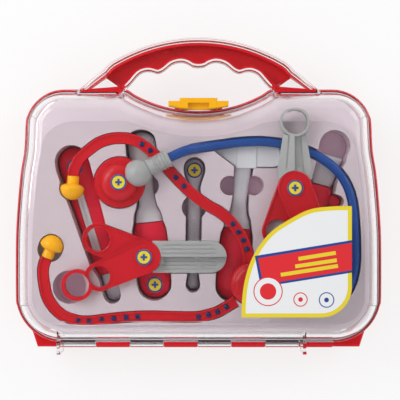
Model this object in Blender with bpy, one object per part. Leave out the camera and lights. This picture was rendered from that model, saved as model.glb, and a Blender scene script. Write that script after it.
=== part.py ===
"""Toy doctor case lying on its back: a red base, a clear hinged lid, a formed tray and toy instruments.

X runs across the case, Y from the hinge to the handle and Z from the back to the front of the lid.
Lengths are in metres. A place is measured from the middle of the case,
and a table of shares follows a named length.
"""
import math

import bmesh
import bpy
from mathutils import Matrix, Vector

for old in list(bpy.data.objects):
    bpy.data.objects.remove(old, do_unlink=True)

MM = 0.001

# Clearances
GAP = 0.3 * MM                   # between two pieces that rest on each other
OVERRUN = 1.0 * MM               # how far a cutter passes the face that it opens

# Case
CASE_WIDTH = 260.4 * MM          # across the rim of the lid
CASE_HEIGHT = 221.5 * MM         # from the flat of the feet to the top of the handle
BASE_DEPTH = 44.0 * MM
LID_DEPTH = 36.0 * MM
SHELL_WALL = 2.0 * MM
FOOT_DROP = 4.75 * MM            # the feet reach this far below the rim
SHOULDER_DROP = 36.9 * MM        # from the top of the handle down to the shoulders
SHOULDER_RADIUS = 27.5 * MM
LOWER_CORNER_RADIUS = 34.0 * MM
DIP_RADIUS = 95.3 * MM           # hollow in the top wall, under the handle
DIP_HALF_WIDTH = 51.9 * MM
RIM_LIP = 0.7 * MM               # the base shows this far outside the lid
RIM_BAND = 7.0 * MM              # height of the base above its feet
FOOT_CORNER_X = 116.5 * MM
FOOT_START_DROP = 44.0 * MM      # the feet leave the sides this far above their flat
FOOT_BACK = 3.0 * MM
BACK_INSET = 6.0 * MM            # roll of the base's back edge
FRONT_INSET = 16.5 * MM          # from the rim to the flat front of the lid

# Side of the case, lower corner to shoulder: share of half the width, share of the case height
SIDE_SHARES = ((1.0, -0.190), (0.997, -0.110), (0.987, -0.020), (0.972, 0.070), (0.953, 0.140))
# Wall of the lid from its rim to its front: share of the front inset, share of the lid depth
LID_SHARES = ((0.0, 0.0), (0.0, 0.085), (0.13, 0.10), (0.34, 0.55), (0.47, 0.77), (0.65, 0.93), (1.0, 1.0))
# Wall of the base from its rim to its back: share of the back inset, share of the base depth
BASE_SHARES = ((0.0, 0.0), (0.0, 0.72), (0.12, 0.87), (0.45, 0.96), (1.0, 1.0))

# Handle
HANDLE_RADIUS = 119.3 * MM
HANDLE_HALF_THICKNESS = 11.0 * MM
HANDLE_WALL = 2.2 * MM
HANDLE_NEST = 2.4 * MM           # the base's half of the handle stands this far inside the lid's
HANDLE_ROOT = 6.0 * MM           # the handle enters the case this far
HANDLE_ARC_X = 57.4 * MM         # half of the arc's span, straight from there down to the shoulders
HANDLE_FOOT_X = 84.7 * MM
WINDOW_FOOT_X = 80.4 * MM        # the base's handle is open at its roots, out to here
# Finger grip, right to left up to the middle: share of the case width, share of the case height
GRIP_SHARES = ((0.1995, 0.334), (0.181, 0.358), (0.162, 0.383), (0.1435, 0.392), (0.128, 0.391),
               (0.111, 0.386),
               (0.094, 0.394), (0.073, 0.414), (0.050, 0.4215), (0.031, 0.417), (0.016, 0.407))
GRIP_MIDDLE_SHARE = 0.4045
# Bend between the arc and the root, and the two ends of the wall that closes the grip off from its root:
# share of the case width, share of the case height
HANDLE_BEND_SHARE = (0.2588, 0.3973)
STOP_SHARES = ((0.2500, 0.3840), (0.1985, 0.3370))

# Hinge
HINGE_RADIUS = 2.6 * MM
HINGE_PIN_RADIUS = 1.0 * MM
HINGE_DROP = 1.4 * MM            # the axis lies this far below the rim
HINGE_LEFT = -97.4 * MM
HINGE_RIGHT = 96.0 * MM
KNUCKLES = 8
WEB_DEPTH = 5.0 * MM            # of the base's webs, below the parting face
WEB_HEIGHT = 2.4 * MM           # of the lid's webs
EAR_WIDTH = 2.4 * MM
EAR_LOW = 11.0 * MM              # the ears start this far above the parting face
EAR_HIGH = 33.0 * MM
EAR_DEPTH = 16.0 * MM

# Latch
LATCH_PIVOT_DROP = 10.5 * MM     # below the parting face
LATCH_PIVOT_OUT = 5.3 * MM       # out of the hollow's lowest point
LATCH_RISE = 13.0 * MM           # above the parting face
LATCH_HOOK = 9.2 * MM
LATCH_WING_HALF = 21.2 * MM
LATCH_BLOCK_HALF = 13.3 * MM
LATCH_RECESS_HALF = 7.4 * MM
LATCH_WING_OUT = 6.9 * MM
LATCH_BLOCK_OUT = 9.0 * MM
LATCH_PLATE = 3.0 * MM
LATCH_RECESS_OUT = 5.6 * MM
LATCH_RECESS_DEPTH = 4.0 * MM
LATCH_PIN_RADIUS = 1.2 * MM
LATCH_BARREL_RADIUS = 3.2 * MM
LATCH_EAR_WIDTH = 3.5 * MM

# Tray
TRAY_WALL = 0.9 * MM
TRAY_REST = 42.0 * MM            # top of the base's posts
TABLE_TOP = 50.0 * MM            # raised table of the tray
SEAT_FLOOR = 44.0 * MM           # seats of the upper instruments
HOSE_FLOOR = 42.6 * MM
EAR_TIP_FLOOR = 38.0 * MM
WELL_FLOOR = 22.0 * MM           # wells of the lower instruments
TABLE_INSET = 11.0 * MM
TABLE_DIP_INSET = 18.0 * MM
TABLE_HEAD_INSET = 22.5 * MM
FIT = 1.2 * MM                   # room beside an instrument in its well
SEAT_FIT = 0.7 * MM
POST_ARM = 5.5 * MM
POST_THICKNESS = 1.6 * MM
# Posts under the tray: shares of the case width and height
POST_SHARES = ((-0.277, 0.238), (0.277, 0.238), (-0.235, -0.442), (0.235, -0.442))
# Finger wells: place and radius in shares of the case width
FINGER_WELL_SHARES = ((-0.139, 0.021, 0.031), (-0.012, -0.038, 0.034), (0.085, 0.022, 0.027),
                      (0.152, 0.022, 0.027), (0.372, 0.131, 0.043), (-0.352, -0.255, 0.046))

# Label and stickers
LABEL_THICKNESS = 0.3 * MM
STICKER_RADIUS = 5.7 * MM
LABEL_CORNER = 21.0 * MM
LABEL_FOOT_SHARE = -0.326        # of the case width
LABEL_RIGHT_SHARE = 0.403
# Right end of the label's upper edge, round its bow and down to its foot: shares of the case width
LABEL_BOW_SHARES = ((0.403, -0.0334), (0.347, -0.0345), (0.293, -0.0422), (0.245, -0.065), (0.193, -0.099),
                    (0.158, -0.140), (0.1355, -0.183), (0.121, -0.232), (0.1145, -0.280), (0.1133, -0.326))

# Stethoscope
BAND_WIDTH = 7.8 * MM
BAND_THICKNESS = 5.4 * MM
BAND_GROOVE = 4.6 * MM
BAND_GROOVE_DEPTH = 1.0 * MM
STUD_RADIUS = 1.6 * MM
STUD_HEIGHT = 1.0 * MM
JUNCTION_X = 38.0 * MM
JUNCTION_Y = -64.3 * MM
JUNCTION_RADIUS = 15.4 * MM
JUNCTION_HEIGHT = 9.5 * MM
CHEST_X = -56.0 * MM
CHEST_Y = 7.9 * MM
CHEST_RADIUS = 18.3 * MM
CHEST_RIM = 7.0 * MM
CHEST_RISE = 16.5 * MM
CHEST_DOME_RADIUS = 13.2 * MM
NECK_ANGLE = 26.0                # degrees, from the chest piece to the hose
NECK_HEIGHT = 57.2 * MM
NECK_BALL_RADIUS = 9.6 * MM
NECK_BALL_OUT = 15.0 * MM
COLLAR_RADIUS = 6.4 * MM
COLLAR_START = 23.0 * MM         # from the middle of the chest piece
COLLAR_END = 39.5 * MM
HOSE_SOCKET = 5.0 * MM
HOSE_RADIUS = 3.4 * MM
EAR_TIP_RADIUS = 8.6 * MM
EAR_TIP_LENGTH = 17.0 * MM
EAR_STEM_RADIUS = 4.2 * MM

# Headset band from the first ear tip to the junction, and from the second: shares of the case width
UPPER_BAND_SHARES = ((-0.3425, 0.049), (-0.341, 0.065), (-0.3276, 0.092), (-0.3137, 0.107), (-0.297, 0.121),
                     (-0.274, 0.1375), (-0.246, 0.148), (-0.215, 0.1517), (-0.183, 0.148), (-0.160, 0.1386),
                     (-0.1356, 0.121), (-0.111, 0.0975), (-0.081, 0.065), (-0.062, 0.044), (-0.0396, 0.021),
                     (-0.0096, -0.0065), (0.026, -0.0326), (0.0534, -0.0476), (0.0753, -0.064),
                     (0.0945, -0.083),
                     (0.1094, -0.1045), (0.123, -0.127), (0.1325, -0.152), (0.1383, -0.187))
LOWER_BAND_SHARES = ((-0.4151, -0.1763), (-0.4215, -0.192), (-0.4245, -0.215), (-0.4205, -0.250),
                     (-0.4124, -0.283), (-0.393, -0.313), (-0.366, -0.335), (-0.3287, -0.3475),
                     (-0.299, -0.349), (-0.2646, -0.345), (-0.2316, -0.341),
                     (-0.1985, -0.338), (-0.166, -0.336), (-0.133, -0.3353), (-0.092, -0.336),
                     (-0.037, -0.3376),
                     (-0.0015, -0.3368), (0.027, -0.331), (0.052, -0.323), (0.077, -0.309),
                     (0.1025, -0.2935))
# Studs on the band: shares of the case width
STUD_SHARES = ((-0.155, 0.135), (-0.132, 0.118), (-0.062, 0.044), (-0.0396, 0.021),
               (0.0945, -0.083), (0.1094, -0.1045), (0.1225, -0.127), (0.1318, -0.151),
               (0.076, -0.3095), (0.052, -0.323), (0.027, -0.331), (0.0, -0.337),
               (-0.166, -0.336), (-0.1985, -0.338), (-0.2316, -0.341), (-0.2646, -0.345), (-0.299, -0.349),
               (-0.3287, -0.3475))

# Hose route from the collar to the junction, chosen by hand, in metres
HOSE_ROUTE = ((-0.0247, 0.0231, 0.0572), (-0.0195, 0.0257, 0.0572), (-0.0095, 0.0302, 0.0556),
              (-0.0015, 0.0322, 0.0520), (0.0082, 0.0337, 0.0484), (0.0189, 0.0352, 0.0466),
              (0.0297, 0.0366, 0.0463), (0.0439, 0.0372, 0.0463), (0.0582, 0.0358, 0.0463),
              (0.0689, 0.0333, 0.0463), (0.0790, 0.0297, 0.0463), (0.0868, 0.0258, 0.0463),
              (0.0961, 0.0190, 0.0463), (0.1032, 0.0109, 0.0463), (0.1079, 0.0012, 0.0463),
              (0.1104, -0.0100, 0.0463), (0.1115, -0.0240, 0.0463), (0.1120, -0.0400, 0.0463),
              (0.1112, -0.0546, 0.0463), (0.1072, -0.0674, 0.0463), (0.0990, -0.0755, 0.0463),
              (0.0868, -0.0780, 0.0463), (0.0740, -0.0765, 0.0463), (0.0640, -0.0722, 0.0463),
              (0.0533, -0.0686, 0.0463))

# Scissors
SCISSORS_X = -38.5 * MM
SCISSORS_Y = -44.9 * MM
SCISSORS_REACH = 58.5 * MM       # pivot to the point of the blades
SCISSORS_THICKNESS = 5.7 * MM
SCISSORS_HEAD = 11.8 * MM
BLADE_HALF_WIDTH = 11.4 * MM
BLADE_SPLIT = 0.3 * MM
# Middle and radius of the finger rings: shares of the reach
REAR_RING_SHARES = (-0.563, 0.215, 0.195)
FRONT_RING_SHARES = (-0.538, -0.234, 0.178)
FRONT_LOOP_SHARES = (-0.807, -0.337, 0.190)
RING_WALL = 2.9 * MM
LOOP_WALL = 2.6 * MM

# Ring forceps
FORCEPS_X = 67.8 * MM
FORCEPS_Y = 3.9 * MM
FORCEPS_REACH = 46.6 * MM        # pivot to the middle of the ring
FORCEPS_THICKNESS = 5.0 * MM
FORCEPS_HEAD = 12.0 * MM
FORCEPS_RING = 10.6 * MM
FORCEPS_RING_WALL = 1.8 * MM
FORCEPS_FINGER_SHARES = (0.258, -0.650, 0.235)
FORCEPS_FINGER_WALL = 3.0 * MM
# Half a jaw, from the head to the ring: share of the reach across, share of the reach along
JAW_SHARES = ((0.262, 0.30), (0.178, 0.80))

# Pivots of the scissors and the forceps
RIVET_RADIUS = 2.2 * MM
TONGUE_HALF_WIDTH = 5.0 * MM
TONGUE_THICKNESS = 2.2 * MM
BLADE_GROOVES = 3
BLADE_GROOVE_WIDTH = 0.9 * MM
BLADE_GROOVE_DEPTH = 0.6 * MM

# Lower instruments: the two ends of each one's middle line
THERMOMETER_ENDS = ((-90.5 * MM, 23.1 * MM), (-61.1 * MM, -72.9 * MM))
OTOSCOPE_ENDS = ((-41.1 * MM, 34.7 * MM), (-30.2 * MM, -76.5 * MM))
PROBE_ENDS = ((-2.9 * MM, 17.0 * MM), (-4.0 * MM, -65.6 * MM))
HAMMER_ENDS = ((33.2 * MM, 27.0 * MM), (22.2 * MM, -77.3 * MM))
SYRINGE_ENDS = ((94.8 * MM, 27.0 * MM), (73.8 * MM, -46.7 * MM))
SIDES = 16                       # around a moulded body
HAMMER_EDGE = 1.6 * MM
SCALE_HALF_WIDTH = 2.6 * MM
SCALE_DEPTH = 2.4 * MM
SCALE_SINK = 0.9 * MM
SCALE_SHIFT_SHARE = 0.025        # across the thermometer's middle line
SCALE_START_SHARE = 0.20         # along it
SCALE_END_SHARE = 0.68
FLANGE_SHARE = 0.395             # along the syringe's middle line
FLANGE_REACH_SHARE = 0.165
FLANGE_HALF_SHARE = 0.050
FLANGE_THICKNESS = 7.0 * MM
PLUNGER_ROD_RADIUS = 3.0 * MM
PLUNGER_ROD_REACH = 12.0 * MM
PLUNGER_TRAVEL = 6.0 * MM

# Places that several pieces share
PARTING = BASE_DEPTH
LID_BOTTOM = PARTING + GAP
CASE_FRONT = LID_BOTTOM + LID_DEPTH
HALF_WIDTH = CASE_WIDTH / 2
HALF_HEIGHT = CASE_HEIGHT / 2
RIM_BOTTOM_Y = -HALF_HEIGHT + FOOT_DROP
SHOULDER_Y = HALF_HEIGHT - SHOULDER_DROP
DIP_CENTRE_Y = SHOULDER_Y + math.sqrt(DIP_RADIUS ** 2 - DIP_HALF_WIDTH ** 2)
DIP_Y = DIP_CENTRE_Y - DIP_RADIUS
SHOULDER_X = HALF_WIDTH * SIDE_SHARES[-1][0] - SHOULDER_RADIUS - (GAP + GAP)
HANDLE_CENTRE_Y = HALF_HEIGHT - HANDLE_RADIUS
HINGE_Y = RIM_BOTTOM_Y - HINGE_DROP
HINGE_Z = PARTING + GAP / 2
LATCH_Y = DIP_Y + LATCH_PIVOT_OUT
LATCH_Z = PARTING - LATCH_PIVOT_DROP


# Materials

def plastic(name, color, roughness, alpha=1.0, metallic=0.0):
    """One moulded plastic or metal finish."""
    material = bpy.data.materials.new(name)
    material.use_nodes = True
    shader = material.node_tree.nodes["Principled BSDF"]
    shader.inputs["Base Color"].default_value = (*color, 1.0)
    shader.inputs["Roughness"].default_value = roughness
    shader.inputs["Metallic"].default_value = metallic
    shader.inputs["Alpha"].default_value = alpha
    material.diffuse_color = (*color, alpha)
    return material


CASE_RED = plastic("case_red", (0.60, 0.01, 0.02), 0.28)
CLEAR = plastic("clear", (0.90, 0.92, 0.94), 0.08, alpha=0.3)
TRAY_LILAC = plastic("tray_lilac", (0.62, 0.50, 0.56), 0.25)
LATCH_YELLOW = plastic("latch_yellow", (1.0, 0.50, 0.01), 0.30)
TOY_RED = plastic("toy_red", (0.62, 0.02, 0.03), 0.25)
TOY_GREY = plastic("toy_grey", (0.33, 0.35, 0.35), 0.35)
HOSE_BLUE = plastic("hose_blue", (0.01, 0.07, 0.32), 0.30)
STUD_BLUE = plastic("stud_blue", (0.01, 0.02, 0.14), 0.35)
TIP_YELLOW = plastic("tip_yellow", (1.0, 0.50, 0.01), 0.20)
STEEL = plastic("steel", (0.55, 0.55, 0.56), 0.25, metallic=1.0)
PRINT_WHITE = plastic("print_white", (0.85, 0.87, 0.89), 0.35)
PRINT_YELLOW = plastic("print_yellow", (0.80, 0.65, 0.03), 0.35)


# Outlines

def arc(centre, radius, start, end, steps):
    """Points on a circle from one angle to another, in degrees."""
    turn = [math.radians(start + (end - start) * step / steps) for step in range(steps + 1)]
    return [Vector((centre[0] + radius * math.cos(angle),
                    centre[1] + radius * math.sin(angle))) for angle in turn]


def disc(centre, radius, steps=24):
    """Points of a full circle."""
    return arc(centre, radius, 0, 360, steps)[:-1]


def mirrored(points):
    """The same points across the middle of the case, in reverse order."""
    return [Vector((-point.x, point.y)) for point in reversed(points)]


def inset(outline, amount):
    """A counterclockwise outline moved inwards by a distance."""
    moved = []
    for index, point in enumerate(outline):
        before = (point - outline[index - 1]).normalized()
        after = (outline[(index + 1) % len(outline)] - point).normalized()
        bisector = (before + after).normalized().orthogonal()
        stretch = max(bisector.dot(before.orthogonal()), 0.5)
        moved.append(point + bisector * amount / stretch)
    return moved


def body_outline():
    """Rim of the lid, counterclockwise from the middle of the hinge side."""
    corner_x = HALF_WIDTH - LOWER_CORNER_RADIUS
    corner = arc((corner_x, RIM_BOTTOM_Y + LOWER_CORNER_RADIUS), LOWER_CORNER_RADIUS, -90, -4, 7)
    side = [Vector((HALF_WIDTH * across, CASE_HEIGHT * up)) for across, up in SIDE_SHARES]
    shoulder = arc((SHOULDER_X, SHOULDER_Y - SHOULDER_RADIUS), SHOULDER_RADIUS, 10, 90, 6)
    half = math.degrees(math.asin(DIP_HALF_WIDTH / DIP_RADIUS))
    dip = arc((0, DIP_CENTRE_Y), DIP_RADIUS, -90 + half, -90, 5)
    right = corner + side + shoulder + dip[:-1]
    return right + [dip[-1]] + mirrored(right)


def foot_outline():
    """Flat that the case stands on, with its slanted corners."""
    start_y = -HALF_HEIGHT + FOOT_START_DROP
    right = [Vector((FOOT_CORNER_X, -HALF_HEIGHT)), Vector((HALF_WIDTH + RIM_LIP, start_y))]
    return right + mirrored(right)


def in_frame(share):
    """Place given as a share of the case's width and a share of its height."""
    return Vector((CASE_WIDTH * share[0], CASE_HEIGHT * share[1]))


def handle_outline(root_y):
    """Outer arc and finger grip of the handle, down to a straight root inside the case."""
    reach = math.degrees(math.acos(HANDLE_ARC_X / HANDLE_RADIUS))
    outer = arc((0, HANDLE_CENTRE_Y), HANDLE_RADIUS, reach, 180 - reach, 16)
    bend = in_frame(HANDLE_BEND_SHARE)
    lean = (HANDLE_FOOT_X - bend.x) / (bend.y - SHOULDER_Y)
    side = [Vector((HANDLE_FOOT_X + lean * (SHOULDER_Y - root_y), root_y)), bend]
    grip = [in_frame(share) for share in GRIP_SHARES]
    inner_root = Vector((grip[0].x + HANDLE_ROOT, root_y))
    middle = [Vector((0, CASE_HEIGHT * GRIP_MIDDLE_SHARE))]
    right = [inner_root] + grip
    left = [Vector((-point.x, point.y)) for point in right]
    return side + outer + mirrored(side) + left + middle + right[::-1]


def stop_outlines():
    """Thin walls across the lid's half of the handle, between the grip and each root."""
    top, foot = [in_frame(share) for share in STOP_SHARES]
    wall = ribbon([foot, top], HANDLE_WALL / 2)
    return [wall, mirrored(wall)]


def window_outlines():
    """Openings through the base's handle between each stop and the shoulder."""
    top, foot = [in_frame(share) for share in STOP_SHARES]
    low = SHOULDER_Y + RIM_LIP + GAP
    near = Vector((foot.x + HANDLE_WALL + GAP, low))
    window = [near, Vector((WINDOW_FOOT_X, low)), top + Vector((HANDLE_WALL, -HANDLE_WALL / 2))]
    return [window, mirrored(window)]


def table_outline(amount):
    """Edge of the tray's raised table."""
    edge = inset(body_outline(), TABLE_INSET + amount)
    radius = DIP_RADIUS + TABLE_DIP_INSET + amount
    top = SHOULDER_Y - TABLE_HEAD_INSET - amount
    limited = []
    for point in edge:
        limit = top
        if abs(point.x) < radius:
            limit = min(top, DIP_CENTRE_Y - math.sqrt(radius ** 2 - point.x ** 2))
        limited.append(Vector((point.x, min(point.y, limit))))
    return tidy(limited)


def tidy(outline):
    """The outline without points that fall on the one before."""
    return [point for index, point in enumerate(outline) if (point - outline[index - 1]).length > GAP]


def capsule(first, first_radius, second, second_radius, steps=8):
    """Outline of two discs and the band that spans them."""
    first, second = Vector(first), Vector(second)
    span = second - first
    lean = math.degrees(math.asin((first_radius - second_radius) / span.length))
    along = math.degrees(math.atan2(span.y, span.x))
    near = arc(first, first_radius, along + 90 - lean, along + 270 + lean, steps)
    far = arc(second, second_radius, along - 90 + lean, along + 90 - lean, steps)
    return near + far


def ribbon(points, half_width):
    """Outline of a strip of constant width along a row of points."""
    left, right = [], []
    for index, point in enumerate(points):
        before = points[max(index - 1, 0)]
        after = points[min(index + 1, len(points) - 1)]
        across = (after - before).normalized().orthogonal()
        left.append(point + across * half_width)
        right.append(point - across * half_width)
    return right + left[::-1]


def silhouette(ends, stations, margin):
    """Plan outline of a body given by stations along its middle line, with a margin round it."""
    start, end = Vector(ends[0]), Vector(ends[1])
    length = (end - start).length
    along = (end - start).normalized()
    across = along.orthogonal()
    shifts = [station[0] * length for station in stations]
    shifts[0] -= margin
    shifts[-1] += margin
    right = [start + along * shift - across * (station[1] * length + margin)
             for shift, station in zip(shifts, stations)]
    left = [start + along * shift + across * (station[1] * length + margin)
            for shift, station in zip(shifts, stations)]
    return right + left[::-1]


# Solids

def finished(name, mesh_data, material):
    """Put a bmesh into a named object with outward faces."""
    bmesh.ops.remove_doubles(mesh_data, verts=mesh_data.verts, dist=GAP / 100)
    bmesh.ops.recalc_face_normals(mesh_data, faces=mesh_data.faces)
    mesh = bpy.data.meshes.new(name)
    mesh_data.to_mesh(mesh)
    mesh_data.free()
    item = bpy.data.objects.new(name, mesh)
    bpy.context.scene.collection.objects.link(item)
    if material:
        mesh.materials.append(material)
    mesh.shade_smooth()
    mesh.set_sharp_from_angle(angle=math.radians(35))
    return item


def tool(item):
    """Mark an object as a shape that only cuts or joins others."""
    item.hide_render = True
    item.display_type = "WIRE"
    return item


def lofted(name, rings, material=None):
    """Closed solid through rings of equal point count, each an outline and a height."""
    data = bmesh.new()
    rows = [[data.verts.new((point.x, point.y, height)) for point in outline] for outline, height in rings]
    for low, high in zip(rows, rows[1:]):
        for index in range(len(low)):
            following = (index + 1) % len(low)
            data.faces.new((low[index], low[following], high[following], high[index]))
    data.faces.new(rows[0][::-1])
    data.faces.new(rows[-1])
    return finished(name, data, material)


def prism(name, outline, low, high, material=None, edge=0.0, both=False):
    """Outline raised between two heights, its upper edge eased, or both edges."""
    data = bmesh.new()
    face = data.faces.new([data.verts.new((point[0], point[1], low)) for point in outline])
    raised = bmesh.ops.extrude_face_region(data, geom=[face])
    upper = [item for item in raised["geom"] if isinstance(item, bmesh.types.BMVert)]
    bmesh.ops.translate(data, verts=upper, vec=(0, 0, high - low))
    bmesh.ops.recalc_face_normals(data, faces=data.faces)
    if edge:
        middle = (low + high) / 2
        level = [line for line in data.edges if abs(line.verts[0].co.z - line.verts[1].co.z) < GAP / 10]
        eased = [line for line in level if both or line.verts[0].co.z > middle]
        bmesh.ops.bevel(data, geom=eased, offset=edge, segments=2, profile=0.5, affect="EDGES", material=-1,
                        clamp_overlap=True)
    return finished(name, data, material)


def turned(name, profile, place, direction, material=None, steps=24):
    """Profile of radius and distance, turned round a direction through a place."""
    data = bmesh.new()
    points = [data.verts.new((radius, 0, distance)) for radius, distance in profile]
    lines = [data.edges.new(pair) for pair in zip(points, points[1:])]
    bmesh.ops.spin(data, geom=points + lines, cent=(0, 0, 0), axis=(0, 0, 1), angle=math.tau, steps=steps,
                   use_merge=True)
    bmesh.ops.remove_doubles(data, verts=data.verts, dist=GAP / 100)
    aim = Vector((0, 0, 1)).rotation_difference(Vector(direction).normalized()).to_matrix().to_4x4()
    bmesh.ops.transform(data, matrix=Matrix.Translation(Vector(place)) @ aim, verts=data.verts)
    return finished(name, data, material)


def rod(name, place, direction, radius, start, end, material=None, steps=24):
    """Plain round bar between two distances along a direction."""
    profile = ((0, start), (radius, start), (radius, end), (0, end))
    return turned(name, profile, place, direction, material, steps)


def moulded(name, ends, stations, middle_z, material=None, sides=SIDES):
    """Body of rounded section through stations: share along, half width share, half thickness share."""
    start, end = Vector(ends[0]), Vector(ends[1])
    length = (end - start).length
    along = (end - start).normalized()
    across = along.orthogonal()
    data = bmesh.new()
    rows = []
    for share, half_width, half_thickness in stations:
        centre = start + along * share * length
        row = []
        for side in range(sides):
            angle = math.tau * side / sides
            over = math.copysign(abs(math.cos(angle)) ** 0.75, math.cos(angle)) * half_width * length
            rise = math.copysign(abs(math.sin(angle)) ** 0.75, math.sin(angle)) * half_thickness * length
            point = centre + across * over
            row.append(data.verts.new((point.x, point.y, middle_z + rise)))
        rows.append(row)
    for low, high in zip(rows, rows[1:]):
        for index in range(sides):
            following = (index + 1) % sides
            data.faces.new((low[index], low[following], high[following], high[index]))
    data.faces.new(rows[0][::-1])
    data.faces.new(rows[-1])
    return finished(name, data, material)


def crosswise(name, outline, left, right, material=None):
    """Outline in Y and Z, raised along X between two places."""
    data = bmesh.new()
    face = data.faces.new([data.verts.new((left, point[0], point[1])) for point in outline])
    raised = bmesh.ops.extrude_face_region(data, geom=[face])
    far = [item for item in raised["geom"] if isinstance(item, bmesh.types.BMVert)]
    bmesh.ops.translate(data, verts=far, vec=(right - left, 0, 0))
    return finished(name, data, material)


def block(name, low, high, material=None):
    """Box between two corners."""
    outline = ((low[0], low[1]), (high[0], low[1]), (high[0], high[1]), (low[0], high[1]))
    return prism(name, outline, low[2], high[2], material)


def combine(target, operation, others):
    """Cut or join other objects, one Boolean each."""
    for other in others:
        tool(other)
        step = target.modifiers.new(operation.lower() + "_" + other.name, "BOOLEAN")
        step.operation = operation
        step.solver = "EXACT"
        step.object = other


def join(target, *others):
    combine(target, "UNION", others)


def cut(target, *others):
    combine(target, "DIFFERENCE", others)


def hang(pivot_name, place, pieces):
    """Carry pieces on an empty at their joint's axis."""
    pivot = bpy.data.objects.new(pivot_name, None)
    pivot.location = place
    bpy.context.scene.collection.objects.link(pivot)
    for piece in pieces:
        piece.parent = pivot
        piece.matrix_parent_inverse = Matrix.Translation(-Vector(place))


# Base

def wall_profile(shares, depth_inset, depth, thickness):
    """Wall from the edge of a shell to its far face: inset and height, moved inwards by a thickness."""
    points = [Vector((inwards * depth_inset, up * depth)) for inwards, up in shares]
    moved = []
    for index, point in enumerate(points):
        before = (point - points[index - 1]).normalized() if index else Vector((0, 1))
        after = (points[index + 1] - point).normalized() if index < len(points) - 1 else Vector((1, 0))
        bisector = (before + after).normalized()
        across = Vector((bisector.y, -bisector.x))
        moved.append(point + across * thickness / max(across.dot(Vector((before.y, -before.x))), 0.5))
    return moved


def shell_rings(shares, depth_inset, depth, thickness, start, rise, lip):
    """Outlines of a shell's wall from its edge to its far face, with their heights."""
    profile = wall_profile(shares, depth_inset, depth, thickness)
    return [(inset(body_outline(), spot.x - lip), start + rise * spot.y) for spot in profile]


def knuckle_span(index):
    """Left and right end of one hinge knuckle."""
    pitch = (HINGE_RIGHT - HINGE_LEFT) / KNUCKLES
    left = HINGE_LEFT + pitch * index
    return left + GAP / 2, left + pitch - GAP / 2


def knuckles(owner, first, web_low, web_high, web_reach):
    """Every second knuckle of the hinge, bored for the pin, each with a web into its shell."""
    bore = HINGE_PIN_RADIUS + GAP
    pieces = []
    for index in range(first, KNUCKLES, 2):
        left, right = knuckle_span(index)
        wall = ((bore, left), (HINGE_RADIUS, left), (HINGE_RADIUS, right), (bore, right), (bore, left))
        pieces.append(turned(f"{owner}_knuckle_{index}", wall, (0, HINGE_Y, HINGE_Z), (1, 0, 0), steps=16))
        pieces.append(block(f"{owner}_web_{index}", (left + GAP, HINGE_Y + bore + GAP, web_low),
                            (right - GAP, web_reach, web_high)))
    return pieces


def hinge_room(owner):
    """Groove along the rim for the knuckles."""
    return rod(owner + "_hinge_room", (0, HINGE_Y, HINGE_Z), (1, 0, 0), HINGE_RADIUS + GAP,
               HINGE_LEFT - GAP, HINGE_RIGHT + GAP, steps=20)


def latch_ears():
    """Two lugs of the base that hold the latch pin."""
    ears = []
    for side in (-1, 1):
        inner = side * (LATCH_BLOCK_HALF + GAP)
        outer = side * (LATCH_BLOCK_HALF + GAP + LATCH_EAR_WIDTH)
        lug = capsule((DIP_Y, LATCH_Z), LATCH_BARREL_RADIUS, (LATCH_Y, LATCH_Z), LATCH_BARREL_RADIUS)
        ears.append(crosswise(f"latch_ear_{side}", lug, *sorted((inner, outer))))
    return ears


def tray_posts():
    """Cross-shaped posts that carry the tray."""
    posts = []
    for index, (across, up) in enumerate(POST_SHARES):
        x, y = CASE_WIDTH * across, CASE_HEIGHT * up
        arm, half = POST_ARM, POST_THICKNESS / 2
        corners = ((half, -arm), (half, -half), (arm, -half), (arm, half), (half, half), (half, arm))
        cross = [Vector((x + side * dx, y + side * dy)) for side in (1, -1) for dx, dy in corners]
        posts.append(prism(f"post_{index}", cross, SHELL_WALL / 2, TRAY_REST))
    return posts


def make_base():
    base = lofted("base_shell", shell_rings(BASE_SHARES, BACK_INSET, BASE_DEPTH, 0, PARTING, -1, RIM_LIP),
                  CASE_RED)
    join(base, prism("foot_block", foot_outline(), FOOT_BACK, PARTING - RIM_BAND, edge=SHELL_WALL,
                     both=True))
    grip = inset(handle_outline(SHOULDER_Y - HANDLE_ROOT), HANDLE_NEST)
    join(base, prism("base_handle", grip, PARTING - HANDLE_HALF_THICKNESS, PARTING, edge=SHELL_WALL))
    cavity = shell_rings(BASE_SHARES, BACK_INSET, BASE_DEPTH, SHELL_WALL, PARTING, -1, RIM_LIP)
    cut(base, lofted("base_cavity", [(cavity[0][0], PARTING + OVERRUN)] + cavity[1:]))
    foot_room = inset(foot_outline(), SHELL_WALL)
    cut(base, prism("foot_cavity", foot_room, FOOT_BACK + SHELL_WALL, PARTING - RIM_BAND - SHELL_WALL))
    root_y = SHOULDER_Y - HANDLE_NEST - HANDLE_WALL + GAP
    grip_room = inset(handle_outline(root_y), HANDLE_NEST + HANDLE_WALL)
    handle_floor = PARTING - HANDLE_HALF_THICKNESS + HANDLE_WALL
    cut(base, prism("base_handle_cavity", grip_room, handle_floor, PARTING + OVERRUN))
    cut(base, *[prism(f"base_window_{index}", window, handle_floor - HANDLE_WALL - OVERRUN,
                      handle_floor + OVERRUN)
                for index, window in enumerate(window_outlines())])
    cut(base, hinge_room("base"))
    inner_face = RIM_BOTTOM_Y - RIM_LIP + SHELL_WALL
    join(base, *knuckles("base", 1, PARTING - WEB_DEPTH, PARTING - GAP, inner_face - GAP / 2))
    join(base, *latch_ears())
    cut(base, rod("base_latch_bore", (0, LATCH_Y, LATCH_Z), (1, 0, 0), LATCH_PIN_RADIUS + GAP,
                  -LATCH_WING_HALF, LATCH_WING_HALF, steps=16))
    join(base, *tray_posts())


# Lid

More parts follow.
